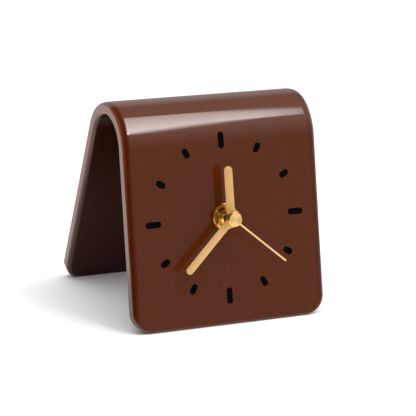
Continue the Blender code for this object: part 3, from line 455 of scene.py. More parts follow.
def rim_share(point):
    """How much of the full rim is left at this height: less and less towards the front foot."""
    blend = max(0.0, min(1.0, (point.z - low_end) / FOOT_BLEND))
    return FOOT_REACH_SHARE + (1 - FOOT_REACH_SHARE) * blend * blend * (3 - 2 * blend)


moved = 0
for vertex in arch.data.vertices:
    share = rim_share(vertex.co)
    if vertex.co.y < RIM_DROP + NEAR and share < 1:
        bow = 1 - min(1.0, max(0.0, inset_from_outline(vertex.co)) / (RIM_REACH * share))
        vertex.co.y = RIM_DROP * share * (1 - math.sqrt(1 - bow * bow))
        moved += 1
print("tightened", moved, "points")

# %% [markdown]
# Two masks for the glaze are easiest to paint now, while the slab is flat: how near a point is to the
# outline, where the glaze is thin and a band of painted shade lies, and whether it lies on the inner side,
# which gets painted shade for the shadow inside the arch. They stay with their points when the slab is
# bent. The faces that lie wholly inside take the duller glaze.

# %% Paint where the glaze is thin, and painted shade at the rim and inside the arch
THIN_AND_SHADE_AT_RIM = 0.84
GLAZED, BARE, DULL = range(3)
thin_and_rim_shade = arch.data.attributes.new("thin_glaze_and_rim_shade", "FLOAT", "POINT")
inside_shade = arch.data.attributes.new("painted_inside_shade", "FLOAT", "POINT")
for vertex in arch.data.vertices:
    inner = vertex.co.y > WALL / 2
    reach = INNER_REACH if inner else RIM_REACH
    near = max(0.0, min(1.0, 1 - inset_from_outline(vertex.co) / reach))
    # Near the outline this mask gives the thin orange glaze and, just inside it, the band of painted shade.
    thin_and_rim_shade.data[vertex.index].value = THIN_AND_SHADE_AT_RIM * near * rim_share(vertex.co)
    # Painted shade inside the arch: full on the inner side, fading to none at its rim.
    inside_shade.data[vertex.index].value = 1 - near if inner else 0.0
for finish in (glaze, clay, inner_glaze):
    arch.data.materials.append(finish)
inside = 0
for face in arch.data.polygons:
    if min(inside_shade.data[corner].value for corner in face.vertices) > 0.999:
        face.material_index = DULL
        inside += 1
print("masked", sum(1 for value in thin_and_rim_shade.data if value.value > 0), "points;", inside, "faces lie inside")

# %% [markdown]
# Now the slab is bent. Simple Deform's bend turns whatever lies between its two limits round an axis and
# carries the rest along straight, which is just what the former does to the clay. The outer side lies at
# y = 0, so the bend's radius is that of the outer face.

# %% Bend it over the former and stand it up
half_bend = BEND * TURN / 2
modify(arch, "SIMPLE_DEFORM", deform_method="BEND", deform_axis="X", angle=TURN,
       limits=((-half_bend - low_end) / slab_length, (half_bend - low_end) / slab_length))
to_bend = (bend_height + BEND * face_out.z - dial_centre.z) / face_up.z
bend_centre = dial_centre + face_up * to_bend - face_out * BEND
settle(arch, Matrix.Translation(bend_centre) @ Matrix.Rotation(-(FRONT_LEAN + TURN / 2), 4, "X")
       @ Matrix.Translation((0, -BEND, 0)))
on_face = max((vertex.co - dial_centre).dot(face_out) for vertex in arch.data.vertices)
print("bent", [round(side / MM, 2) for side in arch.dimensions], "stands off the dial", on_face / MM)

# %% [markdown]
# The ends of the slab are cut level where the clock stands, and the cut is bare clay.

# %% Cut the feet level
edit(arch)
bpy.ops.mesh.bisect(plane_co=(0, 0, 0), plane_no=(0, 0, 1), use_fill=True, clear_inner=True, threshold=WELD)
feet = pick("FACE", lambda face: looks_down(face) and face.calc_center_median().z < NEAR)
bpy.context.object.active_material_index = BARE
bpy.ops.object.material_slot_assign()
done()
print("feet", feet, "faces, lowest point", round(min(vertex.co.z for vertex in arch.data.vertices) / MM, 4))

# %% [markdown]
# The bend has closer rows here than in the measured model, so the arch comes out a few hundredths of a
# millimetre taller. It is squeezed by that much, so that it stays within the measured height.

# %% Fit the arch under the measured height
made_top = max(vertex.co.z for vertex in arch.data.vertices)
squeeze = min(1.0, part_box("clock_body")[1].z / made_top)
settle(arch, Matrix.Diagonal((1, 1, squeeze, 1)))
print("squeezed by", round(squeeze, 5))

# %% [markdown]
# ## Recesses for the hour bars
#
# The hour bars are black enamel that fills shallow recesses, so that they end just below the glaze. A bar
# with round ends is a disc that is cut in half and pulled apart. It serves as the tool that sinks the
# recesses, as the bar that fills them, and later as the blade of a hand.

# %% One bar with round ends, for tools, bars and hands
def bar_with_round_ends(name, width, length, depth, bottom):
    """A bar that points along y and stands on this height."""
    fresh()
    bpy.ops.mesh.primitive_circle_add(vertices=48, radius=width / 2, fill_type="NGON")
    bar = named(name)
    edit(bar)
    for side in (1, -1):
        pick("VERT", lambda vert: vert.co.y * side > NEAR)
        bpy.ops.transform.translate(value=(0, side * (length - width) / 2, 0))
    pick("VERT", lambda vert: abs(vert.co.y) < NEAR)
    bpy.ops.mesh.dissolve_verts()
    bpy.ops.mesh.select_all(action="SELECT")
    bpy.ops.transform.translate(value=(0, 0, bottom))
    pull_up(depth)
    bpy.ops.mesh.select_all(action="SELECT")
    bpy.ops.mesh.normals_make_consistent()
    done()
    return bar


marker_low, marker_high = dial_box("hour_marker_12")
marker_circle = (marker_low.y + marker_high.y) / 2
print("marker circle", round(marker_circle / MM, 2), "mm")

# %% [markdown]
# The quarters have a long bar and the other hours a short one. Each is made once, and its copies are set
# round the dial, first as cutters and later as enamel. All the cutters, and the drill for the bush's hole,
# are joined, so that one Boolean does the whole dial.

# %% Sink the recesses and drill the hole for the bush
MARKER_WIDTH = 3.1 * MM
MARKER_LENGTH = {"long": 7.9 * MM, "short": 5.1 * MM}
POCKET_DEPTH = 1.2 * MM
BUSH_HOLE = 4.15 * MM


def set_round_the_dial(shapes, name):
    """Copy the long and the short shape to their hours, and put the two shapes away."""
    ring = []
    for number in range(1, 13):
        copy = shapes["short" if number % 3 else "long"].copy()
        copy.data = copy.data.copy()
        bpy.context.scene.collection.objects.link(copy)
        copy.name = copy.data.name = f"{name}_{number:02d}"
        around = Matrix.Rotation(-2 * math.pi * number / 12, 4, "Z")
        ring.append(settle(copy, to_dial @ around @ Matrix.Translation((0, marker_circle, 0))))
    for shape in shapes.values():
        bpy.data.objects.remove(shape)
    return ring


tools = {kind: bar_with_round_ends(kind, MARKER_WIDTH, length, 3 * POCKET_DEPTH, -POCKET_DEPTH)
         for kind, length in MARKER_LENGTH.items()}
cutters = set_round_the_dial(tools, "cutter")
cutters.append(settle(cylinder("bush_drill", BUSH_HOLE, 4 * WALL, -2 * WALL, steps=64), to_dial))
take(cutters[0])
for cutter in cutters:
    cutter.select_set(True)
bpy.ops.object.join()
carve(arch, cutters[0])
print("arch", len(arch.data.vertices), "points after the cuts")

# %% [markdown]
# Glaze never leaves a sharp edge: it pulls back and rounds it. So the lips of the recesses get a small
# bevel. Weighted Normal then makes the large flat faces keep their own direction, so the reflection in the
# dial stays straight up to the rims.

# %% Soften the lips of the recesses
LIP = 0.16 * MM
right_angle = shows_edge(80, 100)


def on_lip(edge):
    middle = (edge.verts[0].co + edge.verts[1].co) / 2 - dial_centre
    on_dial_face = abs(middle.dot(face_out)) < 2 * NEAR and abs(middle.x) < WIDTH / 2 - RIM_REACH
    return on_dial_face and right_angle(edge)


edit(arch)
lips = break_edges(on_lip, LIP, clamp=True)
done()
smooth(arch)
modify(arch, "WEIGHTED_NORMAL", keep_sharp=True)
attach(arch, "clock")
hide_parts("clock_body")
print("lips", lips, "edges; arch", len(arch.data.vertices), "points")

# %% [markdown]
# ## Black enamel bars
#
# Enamel is laid in thick and shrinks as it dries, so each bar has a softly rounded edge and lies a little
# below the glaze. Its finish is a satin black: not matt, but without the sharp reflections of the glaze.

# %% Black enamel
enamel = grained("satin black enamel", ((0.3, "#020202"), (0.75, "#050404")), gloss=(0.45, 0.6), scale=1.1,
                 depth=0.02, lift=0.4, **{"Specular IOR Level": 0.05})
print(enamel.name)

# %% [markdown]
# The bars fill their recesses to within a hair's breadth, and the measured markers say how high they stand.

# %% Fill the recesses with enamel
INLAY_CLEARANCE = 0.02 * MM
BAR_EDGE = 0.2 * MM
bars = {}
for kind, length in MARKER_LENGTH.items():
    bar = bar_with_round_ends(kind, MARKER_WIDTH - 2 * INLAY_CLEARANCE, length - 2 * INLAY_CLEARANCE,
                              marker_high.z - marker_low.z, marker_low.z)
    edit(bar)
    break_edges(lies_above(marker_high.z - NEAR), BAR_EDGE, segments=4)
    done()
    bar.data.materials.append(enamel)
    smooth(bar, 50)
    bars[kind] = bar
for number, bar in enumerate(set_round_the_dial(bars, "enamel_bar"), 1):
    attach(bar, "clock")
    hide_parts(f"hour_marker_{number:02d}")
print("12 bars", round((marker_high.z - marker_low.z) / MM, 2), "mm thick")

# %% [markdown]
# ## Brass
#
# The clock has brass in three finishes. The washer, nut, bush and collar and the side of the cap are
# polished, so they mirror the room. The hands are stamped from sheet that was brushed along the blade. The
# face of the cap was turned on a lathe. Brushed and turned metal are the same idea: grooves so fine that
# the eye only sees what they do to the light, which they spread across themselves and not along. The shader
# calls that anisotropy, and its tangent says which way the light is spread: across the blade of a hand, and
# away from the axis on the cap, where it opens into a fan. A coarser bump adds the few lines that can be
# seen one by one.

# %% Brass, and the grooves of its three finishes
def brass(name, tone, worn, roughness, grooves, spread=0.0):
    """Brass whose grooves come from a function that draws their height and their tangent on the tree."""
    material, tree, shader = new_finish(name)
    spot = millimetres(tree)
    cloud = add_node(tree, "TexNoise", {"Vector": spot, "Scale": 0.6, "Detail": 3.0})["Fac"]
    ramp = add_node(tree, "ValToRGB", {"Fac": cloud}, stops=((0.3, worn), (0.7, tone)))
    gloss = add_node(tree, "MapRange", {"Value": cloud, "To Min": roughness * 0.85,
                                        "To Max": roughness * 1.15})[0]
    height, depth, tangent = grooves(tree)
    bump = add_node(tree, "Bump", {"Height": height, "Strength": 0.5, "Distance": depth})
    fill(shader, {"Base Color": ramp["Color"], "Metallic": 1.0, "Roughness": gloss,
                  "Normal": bump["Normal"], "Anisotropic": spread})
    if tangent:
        fill(shader, {"Tangent": tangent})
    return material


def brushed_along(turn):
    def grooves(tree):
        stretched = add_node(tree, "Mapping", {"Vector": on_dial(tree, turn), "Scale": (9.0, 0.25, 1.0)})[0]
        lines = add_node(tree, "TexNoise", {"Vector": stretched, "Scale": 1.0, "Detail": 3.0})
        across = to_dial.to_3x3() @ Matrix.Rotation(-turn, 3, "Z") @ Vector((1, 0, 0))
        tangent = add_node(tree, "CombineXYZ", dict(enumerate(across)))
        return lines["Fac"], 0.02 * MM, tangent[0]
    return grooves


def turned_rings(tree):
    flat = add_node(tree, "VectorMath", {0: on_dial(tree), 1: (1.0, 1.0, 0.0)}, operation="MULTIPLY")[0]
    radius = add_node(tree, "VectorMath", {0: flat}, operation="LENGTH")["Value"]
    rings = add_node(tree, "TexNoise", {"W": radius, "Scale": 14.0, "Detail": 2.0}, noise_dimensions="1D")
    here = add_node(tree, "TexCoord")["Object"]
    outwards = add_node(tree, "VectorMath", {0: here, 1: dial_centre}, operation="SUBTRACT")
    return rings["Fac"], 0.012 * MM, outwards["Vector"]


def fine_polish(tree):
    scratches = add_node(tree, "TexNoise", {"Vector": millimetres(tree), "Scale": 2.0, "Detail": 2.0})
    return scratches["Fac"], 0.004 * MM, None


polished_brass = brass("polished brass", "#FFD47A", "#FCCB6C", 0.22, fine_polish)
turned_brass = brass("turned brass", "#FFDC9E", "#FFD592", 0.58, turned_rings, 0.5)
print(polished_brass.name, "and", turned_brass.name)

# %% [markdown]
# ## The hands
#
# Each hand is stamped from thin sheet. The hour and the minute hand are plain bars with round ends that
# reach a little past the axis, and the second hand is a needle on a round hub. So a hand is one bar with
# round ends, a hub disc that is joined to it with a Boolean, and a bore that a drill takes out. A small
# bevel breaks its edges.

# %% A stamped hand
HAND_EDGE = 0.14 * MM


def stamp_hand(name, reach, thick, width, tail, hub, bore):
    hand = bar_with_round_ends(name, width, reach + tail, thick, 0)
    settle(hand, Matrix.Translation((0, (reach - tail) / 2, 0)))
    carve(hand, cylinder("hub", hub, thick), "UNION")
    carve(hand, cylinder("drill", bore, 8 * thick, -4 * thick, steps=64))
    edit(hand)
    break_edges(shows_edge(60, 120), HAND_EDGE)
    done()
    return hand


ARBOR_BORE = 0.55 * MM
hand_sizes = {
    "hour": {"width": 4.3 * MM, "tail": 4.3 * MM, "hub": 2.75 * MM, "bore": 2.55 * MM},
    "minute": {"width": 3.75 * MM, "tail": 4.6 * MM, "hub": 2.2 * MM, "bore": 1.1 * MM},
    "second": {"width": 0.85 * MM, "tail": 0.0, "hub": 3.0 * MM, "bore": ARBOR_BORE},
}
print("sizes for", len(hand_sizes), "hands")

# %% [markdown]
# The measured hands say how long each blade is, how thick it is and how high it sits. It is stamped
# pointing to twelve and then turned to its time. The brushing is part of the finish, so each hand has
# brushed brass of its own, with the grooves along its blade.

# %% Stamp the three hands
for name, clock_angle, tone, worn in (("hour", -0.4, "#FFD898", "#FACF8E"),
                                      ("minute", 226.0, "#FCD79A", "#F7CF90"),
                                      ("second", 130.5, "#FFE3AE", "#FADAA2")):
    angle = math.radians(clock_angle)
    back, front = dial_box(f"{name}_hand")
    upright = Matrix.Rotation(angle, 4, "Z") @ to_dial.inverted()
    reach = max((upright @ vertex.co).y for vertex in nodes[f"{name}_hand"].data.vertices)
    hand = stamp_hand(f"{name}_hand_brass", reach, front.z - back.z, **hand_sizes[name])
    brushed_brass = brass(f"brushed brass, {name} hand", tone, worn, 0.68, brushed_along(angle), 0.4)
    hand.data.materials.append(brushed_brass)
    smooth(hand)
    settle(hand, to_dial @ Matrix.Rotation(-angle, 4, "Z") @ Matrix.Translation((0, 0, back.z)))
    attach(hand, name)
    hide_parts(f"{name}_hand")
    print(name, "hand reaches", round(reach / MM, 2), "mm,", len(hand.data.vertices), "points")

# %% [markdown]
# ## Brass on the hand axis
#
# The collar and the cap hold the second hand between them, and the washer lies on the dial. Collar and
# washer start as a cylinder. To bore one, both of its ends are inset to the size of the bore and the two
# small discs are bridged into a tunnel. A lathe hand always breaks the edges, so a bevel takes them off
# last. The washer's hole is wider than the bush, so it never sits quite in the middle.

# %% Collar and washer
def thickness(node):
    low, high = dial_box(node)
    return high.z - low.z


def turned_ring(name, radius, height, bore, edge):
    ring = cylinder(name, radius, height)
    edit(ring)
    pick("FACE", lambda face: abs(face.normal.z) > 0.9)
    bpy.ops.mesh.inset(thickness=radius - bore, use_individual=True)
    bpy.ops.mesh.bridge_edge_loops()
    break_edges(shows_edge(60, 120), edge)
    done()
    return ring


def fit_on_dial(piece, node, body):
    """Give a bench piece polished brass, put it where its measured node is, and let it ride."""
    height = dial_box(node)[0].z
    piece.data.materials.append(polished_brass)
    smooth(piece)
    settle(piece, to_dial @ Matrix.Translation((0, 0, height)))
    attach(piece, body)
    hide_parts(node)
    print(piece.name, len(piece.data.vertices), "points, stands", round(height / MM, 2), "mm off the dial")


COLLAR_RADIUS = 3.3 * MM
COLLAR_EDGE = 0.15 * MM
WASHER_RADIUS = 6.25 * MM
WASHER_BORE = 4.3 * MM
WASHER_EDGE = 0.28 * MM
WASHER_SHIFT = (-0.35 * MM, 0.8 * MM, 0)
collar_height = thickness("second_hand_collar")
collar = turned_ring("turned_collar", COLLAR_RADIUS, collar_height, ARBOR_BORE, COLLAR_EDGE)
fit_on_dial(collar, "second_hand_collar", "second")
washer = turned_ring("brass_washer", WASHER_RADIUS, thickness("dial_washer"), WASHER_BORE, WASHER_EDGE)
settle(washer, Matrix.Translation(WASHER_SHIFT))
fit_on_dial(washer, "dial_washer", "clock")

# %% [markdown]
# The cap is a solid button with a blind hole underneath for the arbor. Its face is very slightly dished by
# the turning tool and its rim is a polished chamfer, which draws the bright ring round it.

# %% The cap with its dished face
CAP_RADIUS = 3.5 * MM
CAP_RIM = 0.55 * MM
CAP_FOOT = 0.12 * MM
CAP_POLISH = 0.5 * MM
CAP_HOLE_DEPTH = 0.9 * MM
DISH_RINGS = ((0.2 * MM, 0.02 * MM), (0.9 * MM, 0.02 * MM), (0.9 * MM, 0.01 * MM))
cap_height = thickness("second_hand_cap")
cap = cylinder("turned_cap", CAP_RADIUS, cap_height)
edit(cap)
break_edges(lies_above(cap_height - NEAR), CAP_RIM, segments=8)
break_edges(lambda edge: max(vert.co.z for vert in edge.verts) < NEAR, CAP_FOOT)
pick("FACE", lambda face: looks_up(face) and len(face.verts) > 4)
for step, depth in DISH_RINGS:
    bpy.ops.mesh.inset(thickness=step)
    bpy.ops.transform.translate(value=(0, 0, -depth))
pick("FACE", looks_down)
bpy.ops.mesh.inset(thickness=CAP_RADIUS - CAP_FOOT - ARBOR_BORE)
pull_up(CAP_HOLE_DEPTH)
done()
for face in cap.data.polygons:
    on_face = math.hypot(face.center.x, face.center.y) < CAP_RADIUS - CAP_POLISH
    face.material_index = int(on_face and face.center.z > 0.9 * cap_height)
fit_on_dial(cap, "second_hand_cap", "second")
cap.data.materials.append(turned_brass)

# %% [markdown]
# The nut is a slice of hexagonal bar. Its corners are turned off by the chamfer that every nut has, so
# seen from the front a circle meets the six flats. A bevelled disc stands for the lathe: where it and the
# hexagon overlap is the nut. A drill then takes out the round hole.

# %% The hexagonal nut
BUSH_RADIUS = 3.5 * MM
NUT_ACROSS = 9.6 * MM
NUT_CHAMFER = 0.5 * MM
NUT_EDGE = 0.06 * MM
NUT_CLEARANCE = 0.1 * MM
nut_corner = NUT_ACROSS / 2 / math.cos(math.pi / 6)
nut_height = thickness("hand_nut")
nut = cylinder("hexagon_nut", nut_corner, nut_height, steps=6)
lathe = cylinder("lathe", nut_corner, nut_height)
edit(lathe)
break_edges(shows_edge(60, 120), NUT_CHAMFER, segments=1)
done()
carve(nut, lathe, "INTERSECT")
carve(nut, cylinder("nut_drill", BUSH_RADIUS + NUT_CLEARANCE, 4 * nut_height, -2 * nut_height, steps=72))
edit(nut)
break_edges(shows_edge(50, 120), NUT_EDGE, segments=2, clamp=True)
done()
fit_on_dial(nut, "hand_nut", "clock")

# %% [markdown]
# The bush is the threaded tube of the movement. The nut runs on its thread, and its end shows behind the
# hour hand. The thread is cut as rings: the end face is extruded by half a pitch at a time and made
# smaller and larger in turn, which looks just like a thread at this size.

# %% The threaded bush
BUSH_BORE = 2.75 * MM
BUSH_EDGE = 0.12 * MM
FLANGE_RADIUS = 5.1 * MM
FLANGE_HEIGHT = 1.0 * MM
PITCH = 0.6 * MM
THREAD_ROOT = 0.94
BUSH_STEPS = 72
bush_low, bush_high = dial_box("threaded_bush")
threaded = bush_high.z - bush_low.z - FLANGE_HEIGHT
turns = int(threaded / PITCH)
bush = cylinder("threaded_bush_brass", FLANGE_RADIUS, FLANGE_HEIGHT, bush_low.z, steps=BUSH_STEPS)
edit(bush)
pick("FACE", looks_up)
bpy.ops.mesh.inset(thickness=FLANGE_RADIUS - BUSH_RADIUS)
pull_up(threaded - turns * PITCH)
for share in turns * (THREAD_ROOT, 1 / THREAD_ROOT):
    pull_up(PITCH / 2, wider=share)
pick("FACE", looks_down)
bpy.ops.mesh.inset(thickness=FLANGE_RADIUS - BUSH_BORE)
pick("FACE", lambda face: looks_up(face) and face.calc_center_median().z > bush_high.z - NEAR)
bpy.ops.mesh.inset(thickness=BUSH_RADIUS - BUSH_BORE)
pick("FACE", lambda face: (looks_up(face) or looks_down(face)) and len(face.verts) == BUSH_STEPS)
bpy.ops.mesh.bridge_edge_loops()
break_edges(lies_above(bush_high.z - NEAR), BUSH_EDGE, segments=2)
done()
bush.data.materials.append(polished_brass)
smooth(bush, 30)
settle(bush, to_dial)
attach(bush, "clock")
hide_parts("threaded_bush")
print("bush", len(bush.data.vertices), "points,", turns, "rings")

# %% [markdown]
# ## The movement
#
# The movement is a box of moulded black plastic with a fine spark-eroded grain, and what it holds is
# moulded from white acetal, stamped from steel or wound from copper wire. These pieces have the right shape
# in the measured model already, so they only get their finishes. The grain of each is as large as the real
# one: a few tenths of a millimetre on moulded plastic, and long and thin on sheet steel, where it runs the
# way the sheet was rolled.

# %% Plastics, rubber and metals
def even_grained(name, dark, light, roughness, scale, depth, **more):
    """One grain, with roughness that strays by 15 % to either side."""
    gloss = (roughness * 0.85, roughness * 1.15)
    return grained(name, ((0.3, dark), (0.7, light)), gloss, scale, depth, **more)


black_plastic = even_grained("moulded black plastic", "#151515", "#1D1D1E", 0.45, 2.5, 0.03)
acetal = even_grained("white acetal", "#D9D8D0", "#E6E5DE", 0.38, 0.8, 0.01)
rubber = even_grained("black rubber", "#101010", "#191919", 0.8, 1.5, 0.04)
steel = even_grained("bright sheet steel", "#B4B4B6", "#C9C9CB", 0.3, 1.0, 0.01, Metallic=1.0,
                     stretch_by=(0.2, 4, 4))
magnet = even_grained("ground ferrite magnet", "#3A3A3C", "#4B4B4D", 0.42, 3.0, 0.01, Metallic=0.5)
board = even_grained("green solder resist", "#1B5A30", "#246B3B", 0.35, 0.6, 0.01)
resin_blob = even_grained("black casting resin", "#0C0C0D", "#141415", 0.25, 0.7, 0.01)
print("seven finishes for the movement")

# %% [markdown]
# The winding is hundreds of turns of enamelled copper. A wave pattern along the coil's axis gives one ridge
# for each turn, with the gloss of the enamel over the copper's red. The real wire is as fine as a hair, so
# the ridges are drawn a good deal coarser than it, to show at all.

# %% Copper winding, and every measured piece gets its finish
def copper_winding():
    material, tree, shader = new_finish("enamelled copper winding")
    spot = millimetres(tree)
    wire = add_node(tree, "TexWave", {"Vector": spot, "Scale": 1.6, "Distortion": 0.4})["Fac"]
    ramp = add_node(tree, "ValToRGB", {"Fac": wire}, stops=((0.0, "#6E3418"), (1.0, "#D08052")))
    bump = add_node(tree, "Bump", {"Height": wire, "Strength": 0.8, "Distance": 0.05 * MM})
    fill(shader, {"Base Color": ramp["Color"], "Roughness": 0.3, "Metallic": 1.0, "Normal": bump["Normal"]})
    return material


pieces_in = {
    black_plastic: ("movement_front_case", "movement_rear_case", "setting_knob", "hour_wheel"),
    acetal: ("middle_plate", "reverse_wheel", "third_wheel", "second_wheel", "fifth_wheel", "rotor_pinion",
             "coil_bobbin"),
    steel: ("stator_yoke", "coil_core", "quartz_crystal", "battery_contact_positive",
            "battery_contact_negative"),
    turned_brass: ("minute_pipe", "centre_wheel"),
    rubber: ("rubber_gasket",), resin_blob: ("clock_chip",), magnet: ("rotor_magnet",),
    board: ("circuit_board",), copper_winding(): ("coil_winding",),
}
for finish, names in pieces_in.items():
    for name in names:
        nodes[name].data.materials.clear()
        nodes[name].data.materials.append(finish)
print("finished", sum(len(names) for names in pieces_in.values()), "measured pieces")

# %% [markdown]
# ## The battery
#
# A battery cell is a drawn steel can in a plastic sleeve, with a silver band near its flat end. The sleeve
# stops just short of both ends, where the bare steel shows. One short cylinder is lengthened end by end, so
# that every step of the real can is a ring of faces, and each ring gets the finish it has. The sleeve takes
# up whatever length the other rings leave.

# %% The battery cell
sleeve = even_grained("dark blue battery sleeve", "#16335A", "#1D3F6C", 0.28, 0.5, 0.004)
band = even_grained("silver band on the sleeve", "#A9ABAE", "#BBBDC0", 0.3, 0.5, 0.004, Metallic=0.6)
STEEL, SLEEVE, BAND = range(3)
cell_low, cell_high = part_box("battery_cell")
cell_length = cell_high.x - cell_low.x
cell_axis = (cell_low + cell_high) / 2

# Each ring has a length, a radius at its far end, both in millimetres, and a finish.
WIDE = 7.25
START_LENGTH, START_RADIUS = 0.3, 5.2
base_rings = [(0.5, 6.5, STEEL), (0.6, 7.1, STEEL), (0.25, WIDE, SLEEVE), (7.0, WIDE, SLEEVE),
              (2.0, WIDE, BAND)]
nub_rings = [(0.5, 6.95, SLEEVE), (0.4, 6.4, STEEL), (0.5, 3.2, STEEL), (0.2, 2.7, STEEL),
             (0.95, 2.7, STEEL), (0.35, 2.3, STEEL)]
others = START_LENGTH + sum(length for length, radius, finish in base_rings + nub_rings)
rings = base_rings + [(cell_length / MM - others, WIDE, SLEEVE)] + nub_rings

cell = cylinder("aa_cell", START_RADIUS * MM, START_LENGTH * MM, steps=72)
for finish in (steel, sleeve, band):
    cell.data.materials.append(finish)
edit(cell)
pick("FACE", looks_up)
before = START_RADIUS
for length, radius, finish in rings:
    pull_up(length * MM, wider=radius / before)
    before = radius
done()
height = START_LENGTH * MM
for length, radius, finish in rings:
    for face in cell.data.polygons:
        if height + NEAR < face.center.z < height + length * MM - NEAR:
            face.material_index = finish
    height += length * MM
smooth(cell)
settle(cell, Matrix.Translation((cell_low.x, cell_axis.y, cell_axis.z))
       @ Matrix.Rotation(math.pi / 2, 4, "Y"))
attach(cell, "battery")
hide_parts("battery_cell")
print("cell", round(height / MM, 2), "mm made,", round(cell_length / MM, 2), "mm measured")

# %% [markdown]
# ## The studio
#
# The photograph shows a bright white table without a horizon. The table is white of itself, and adds a
# little light of its own only to what the camera or a mirror sees of it. It adds less of it close to the
# clock, where an ambient occlusion node finds the clock near, so that the contact shadow stays dark.

# %% The table
TABLE_SIZE = 8.0
GLOW = 0.42
GLOW_REACH = 120 * MM


def white_table():
    material, tree, shader = new_finish("white studio table")
    spot = add_node(tree, "TexCoord")["Object"]
    faint = add_node(tree, "TexNoise", {"Vector": spot, "Scale": 3.0})["Fac"]
    tone = add_node(tree, "MapRange", {"Value": faint, "To Min": 0.9, "To Max": 0.92})[0]
    rays = add_node(tree, "LightPath")
    seen = rays["Is Camera Ray"]
    for kind in ("Is Glossy Ray", "Is Transmission Ray"):
        seen = add_node(tree, "Math", {0: seen, 1: rays[kind]}, operation="MAXIMUM")[0]
    free = add_node(tree, "AmbientOcclusion", {"Distance": GLOW_REACH}, samples=8)["AO"]
    most = add_node(tree, "Math", {0: free, 1: GLOW}, operation="MULTIPLY")[0]
    glow = add_node(tree, "Math", {0: seen, 1: most}, operation="MULTIPLY")[0]
    fill(shader, {"Base Color": tone, "Roughness": 0.9, "Specular IOR Level": 0.0,
                  "Emission Color": (1.0, 1.0, 1.0, 1.0), "Emission Strength": glow})
    return material


fresh()
bpy.ops.mesh.primitive_plane_add(size=TABLE_SIZE, location=(0, 0, 0))
table = named("studio_table")
table.data.materials.append(white_table())
print("table", tuple(round(side, 2) for side in table.dimensions))

# %% [markdown]
# A long soft light hangs above, to the front and right, and the glaze mirrors it as the crisp pale band
# along the bend. The light has no straight right side: its outline bulges in the middle, which is what
# makes the band taper towards the right, and it fades along its length. A ramp along the lamp holds the
# outline, and the light fades out where a point nears it. A dimmer light beside it only fills the shadows,
# so it is hidden from reflections.

# %% Two soft lights
LAMP_HEIGHT = 1.0
LAMP_SOFT_IN, LAMP_SOFT_OUT = -0.2, 0.09


def soft_light(name, x, y, size, radiance):
    """A flat lamp that looks straight down, with its power worked out from how bright it is to look at."""
    fresh()
    bpy.ops.object.light_add(type="AREA", location=(x, y, LAMP_HEIGHT))
    lamp = bpy.context.object
    lamp.name = name
    lamp.data.shape = "RECTANGLE"
    lamp.data.size, lamp.data.size_y = size
    lamp.data.energy = radiance * math.pi * size[0] * size[1]
    return lamp


key = soft_light("long soft light", 0.44, -0.465, (0.40, 0.93), 9.0)
key.data.color = (1.0, 0.93, 0.9)
key.data.use_nodes = True
tree = key.data.node_tree
place = add_node(tree, "NewGeometry")["Parametric"]
on_lamp = add_node(tree, "SeparateXYZ", {0: place})
outline = ((0.0, 0.6), (0.27, 0.625), (0.43, 0.68), (0.5, 0.83), (0.785, 0.74), (1.0, 0.5))
edge = add_node(tree, "ValToRGB", {"Fac": on_lamp["Y"]}, stops=outline)["Color"]
past = add_node(tree, "Math", {0: on_lamp["X"], 1: edge}, operation="SUBTRACT")[0]
fade = add_node(tree, "MapRange", {"Value": past, "From Min": LAMP_SOFT_IN, "From Max": LAMP_SOFT_OUT,
                                   "To Min": 1.0, "To Max": 0.0}, interpolation_type="SMOOTHSTEP")[0]
along = add_node(tree, "MapRange", {"Value": on_lamp["Y"], "To Min": 1.4, "To Max": 0.45})[0]
strength = add_node(tree, "Math", {0: fade, 1: along}, operation="MULTIPLY")[0]
fill(tree.nodes["Emission"], {"Strength": strength})
overhead = soft_light("overhead light", -0.12, -0.05, (0.7, 0.7), 3.3)
overhead.visible_glossy = False
print(key.name, "and", overhead.name)

# %% [markdown]
# The glaze also mirrors the room, so the room is drawn as levels of grey that depend on the direction. It
# is dim below and brighter above. A dark gap on the left draws the deep line along the left rim, and white
# walls stand to the right of the clock and behind it.

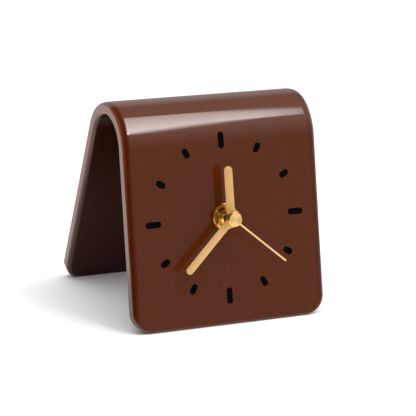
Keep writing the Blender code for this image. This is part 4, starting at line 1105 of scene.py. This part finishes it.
# %% The dim room and its two white walls
WALL_FULL = 0.95
world = bpy.data.worlds.new("dim studio room")
bpy.context.scene.world = world
world.use_nodes = True
room = world.node_tree
direction = add_node(room, "TexCoord")["Generated"]
towards = add_node(room, "SeparateXYZ", {0: direction})
upwards = ((0.0, 0.25), (0.15, 0.27), (0.45, 0.5), (0.7, 0.85), (1.0, 1.0))
sky = add_node(room, "ValToRGB", {"Fac": towards["Z"]}, stops=upwards)["Color"]
across = add_node(room, "Math", {0: towards["X"], 1: 0.5, 2: 0.5}, operation="MULTIPLY_ADD")[0]
left_to_right = ((0.0, 0.45), (0.22, 0.45), (0.32, 0.06), (0.58, 0.06), (0.69, 1.0), (1.0, 1.0))
side = add_node(room, "ValToRGB", {"Fac": across}, stops=left_to_right)["Color"]
front = add_node(room, "MapRange", {"Value": towards["Y"], "From Min": -0.5, "From Max": 0.5,
                                    "To Min": 1.0, "To Max": 0.5})[0]
level = add_node(room, "Math", {0: side, 1: front}, operation="MULTIPLY")[0]
for axis, start, light in (("X", 0.7, 3.0), ("Y", 0.6, 1.4)):
    wall = add_node(room, "MapRange", {"Value": towards[axis], "From Min": start, "From Max": WALL_FULL,
                                       "To Max": light})[0]
    level = add_node(room, "Math", {0: level, 1: wall}, operation="ADD")[0]
fill(room.nodes["Background"], {"Color": sky, "Strength": level})
print("room", world.name)

# %% [markdown]
# ## The camera
#
# The photograph was taken from the front left and a little above, with a long lens from about a metre away,
# which keeps the slab's edges nearly parallel. The camera was tilted sideways by about two degrees, so that
# is kept as well. Its place, lens and turn were found by fitting the corners and the bend of the measured
# model to the photograph.

# %% Place the camera
FRAME_PIXELS = 416
FOCAL_PIXELS = 2182.5
SHIFT_PIXELS = (-14.354, 3.334)
SENSOR = 36.0
DISTANCE = 1028.7 * MM
ROUND_TO = 0.4514
LOOK_DOWN = 0.2952
ROLL = 0.0403
AIM = Vector((0, 3.504 * MM, 2.287 * MM))
view = Vector((math.sin(ROUND_TO) * math.cos(LOOK_DOWN), math.cos(ROUND_TO) * math.cos(LOOK_DOWN),
               -math.sin(LOOK_DOWN)))
right = view.cross(Vector((0, 0, 1))).normalized()
above = right.cross(view)
axes = (right * math.cos(ROLL) + above * math.sin(ROLL),
        above * math.cos(ROLL) - right * math.sin(ROLL), -view)
fresh()
bpy.ops.object.camera_add(location=dial_centre + AIM - view * DISTANCE)
camera = bpy.context.object
camera.name = "product camera"
camera.rotation_euler = Matrix(axes).transposed().to_euler()
camera.data.sensor_width = SENSOR
camera.data.lens = SENSOR * FOCAL_PIXELS / FRAME_PIXELS
camera.data.shift_x, camera.data.shift_y = (shift / FRAME_PIXELS for shift in SHIFT_PIXELS)
camera.data.clip_start = 50 * MM
bpy.context.scene.camera = camera
bpy.context.scene.view_settings.view_transform = "Standard"
print("camera at", [round(part, 3) for part in camera.location], "lens", round(camera.data.lens, 1))
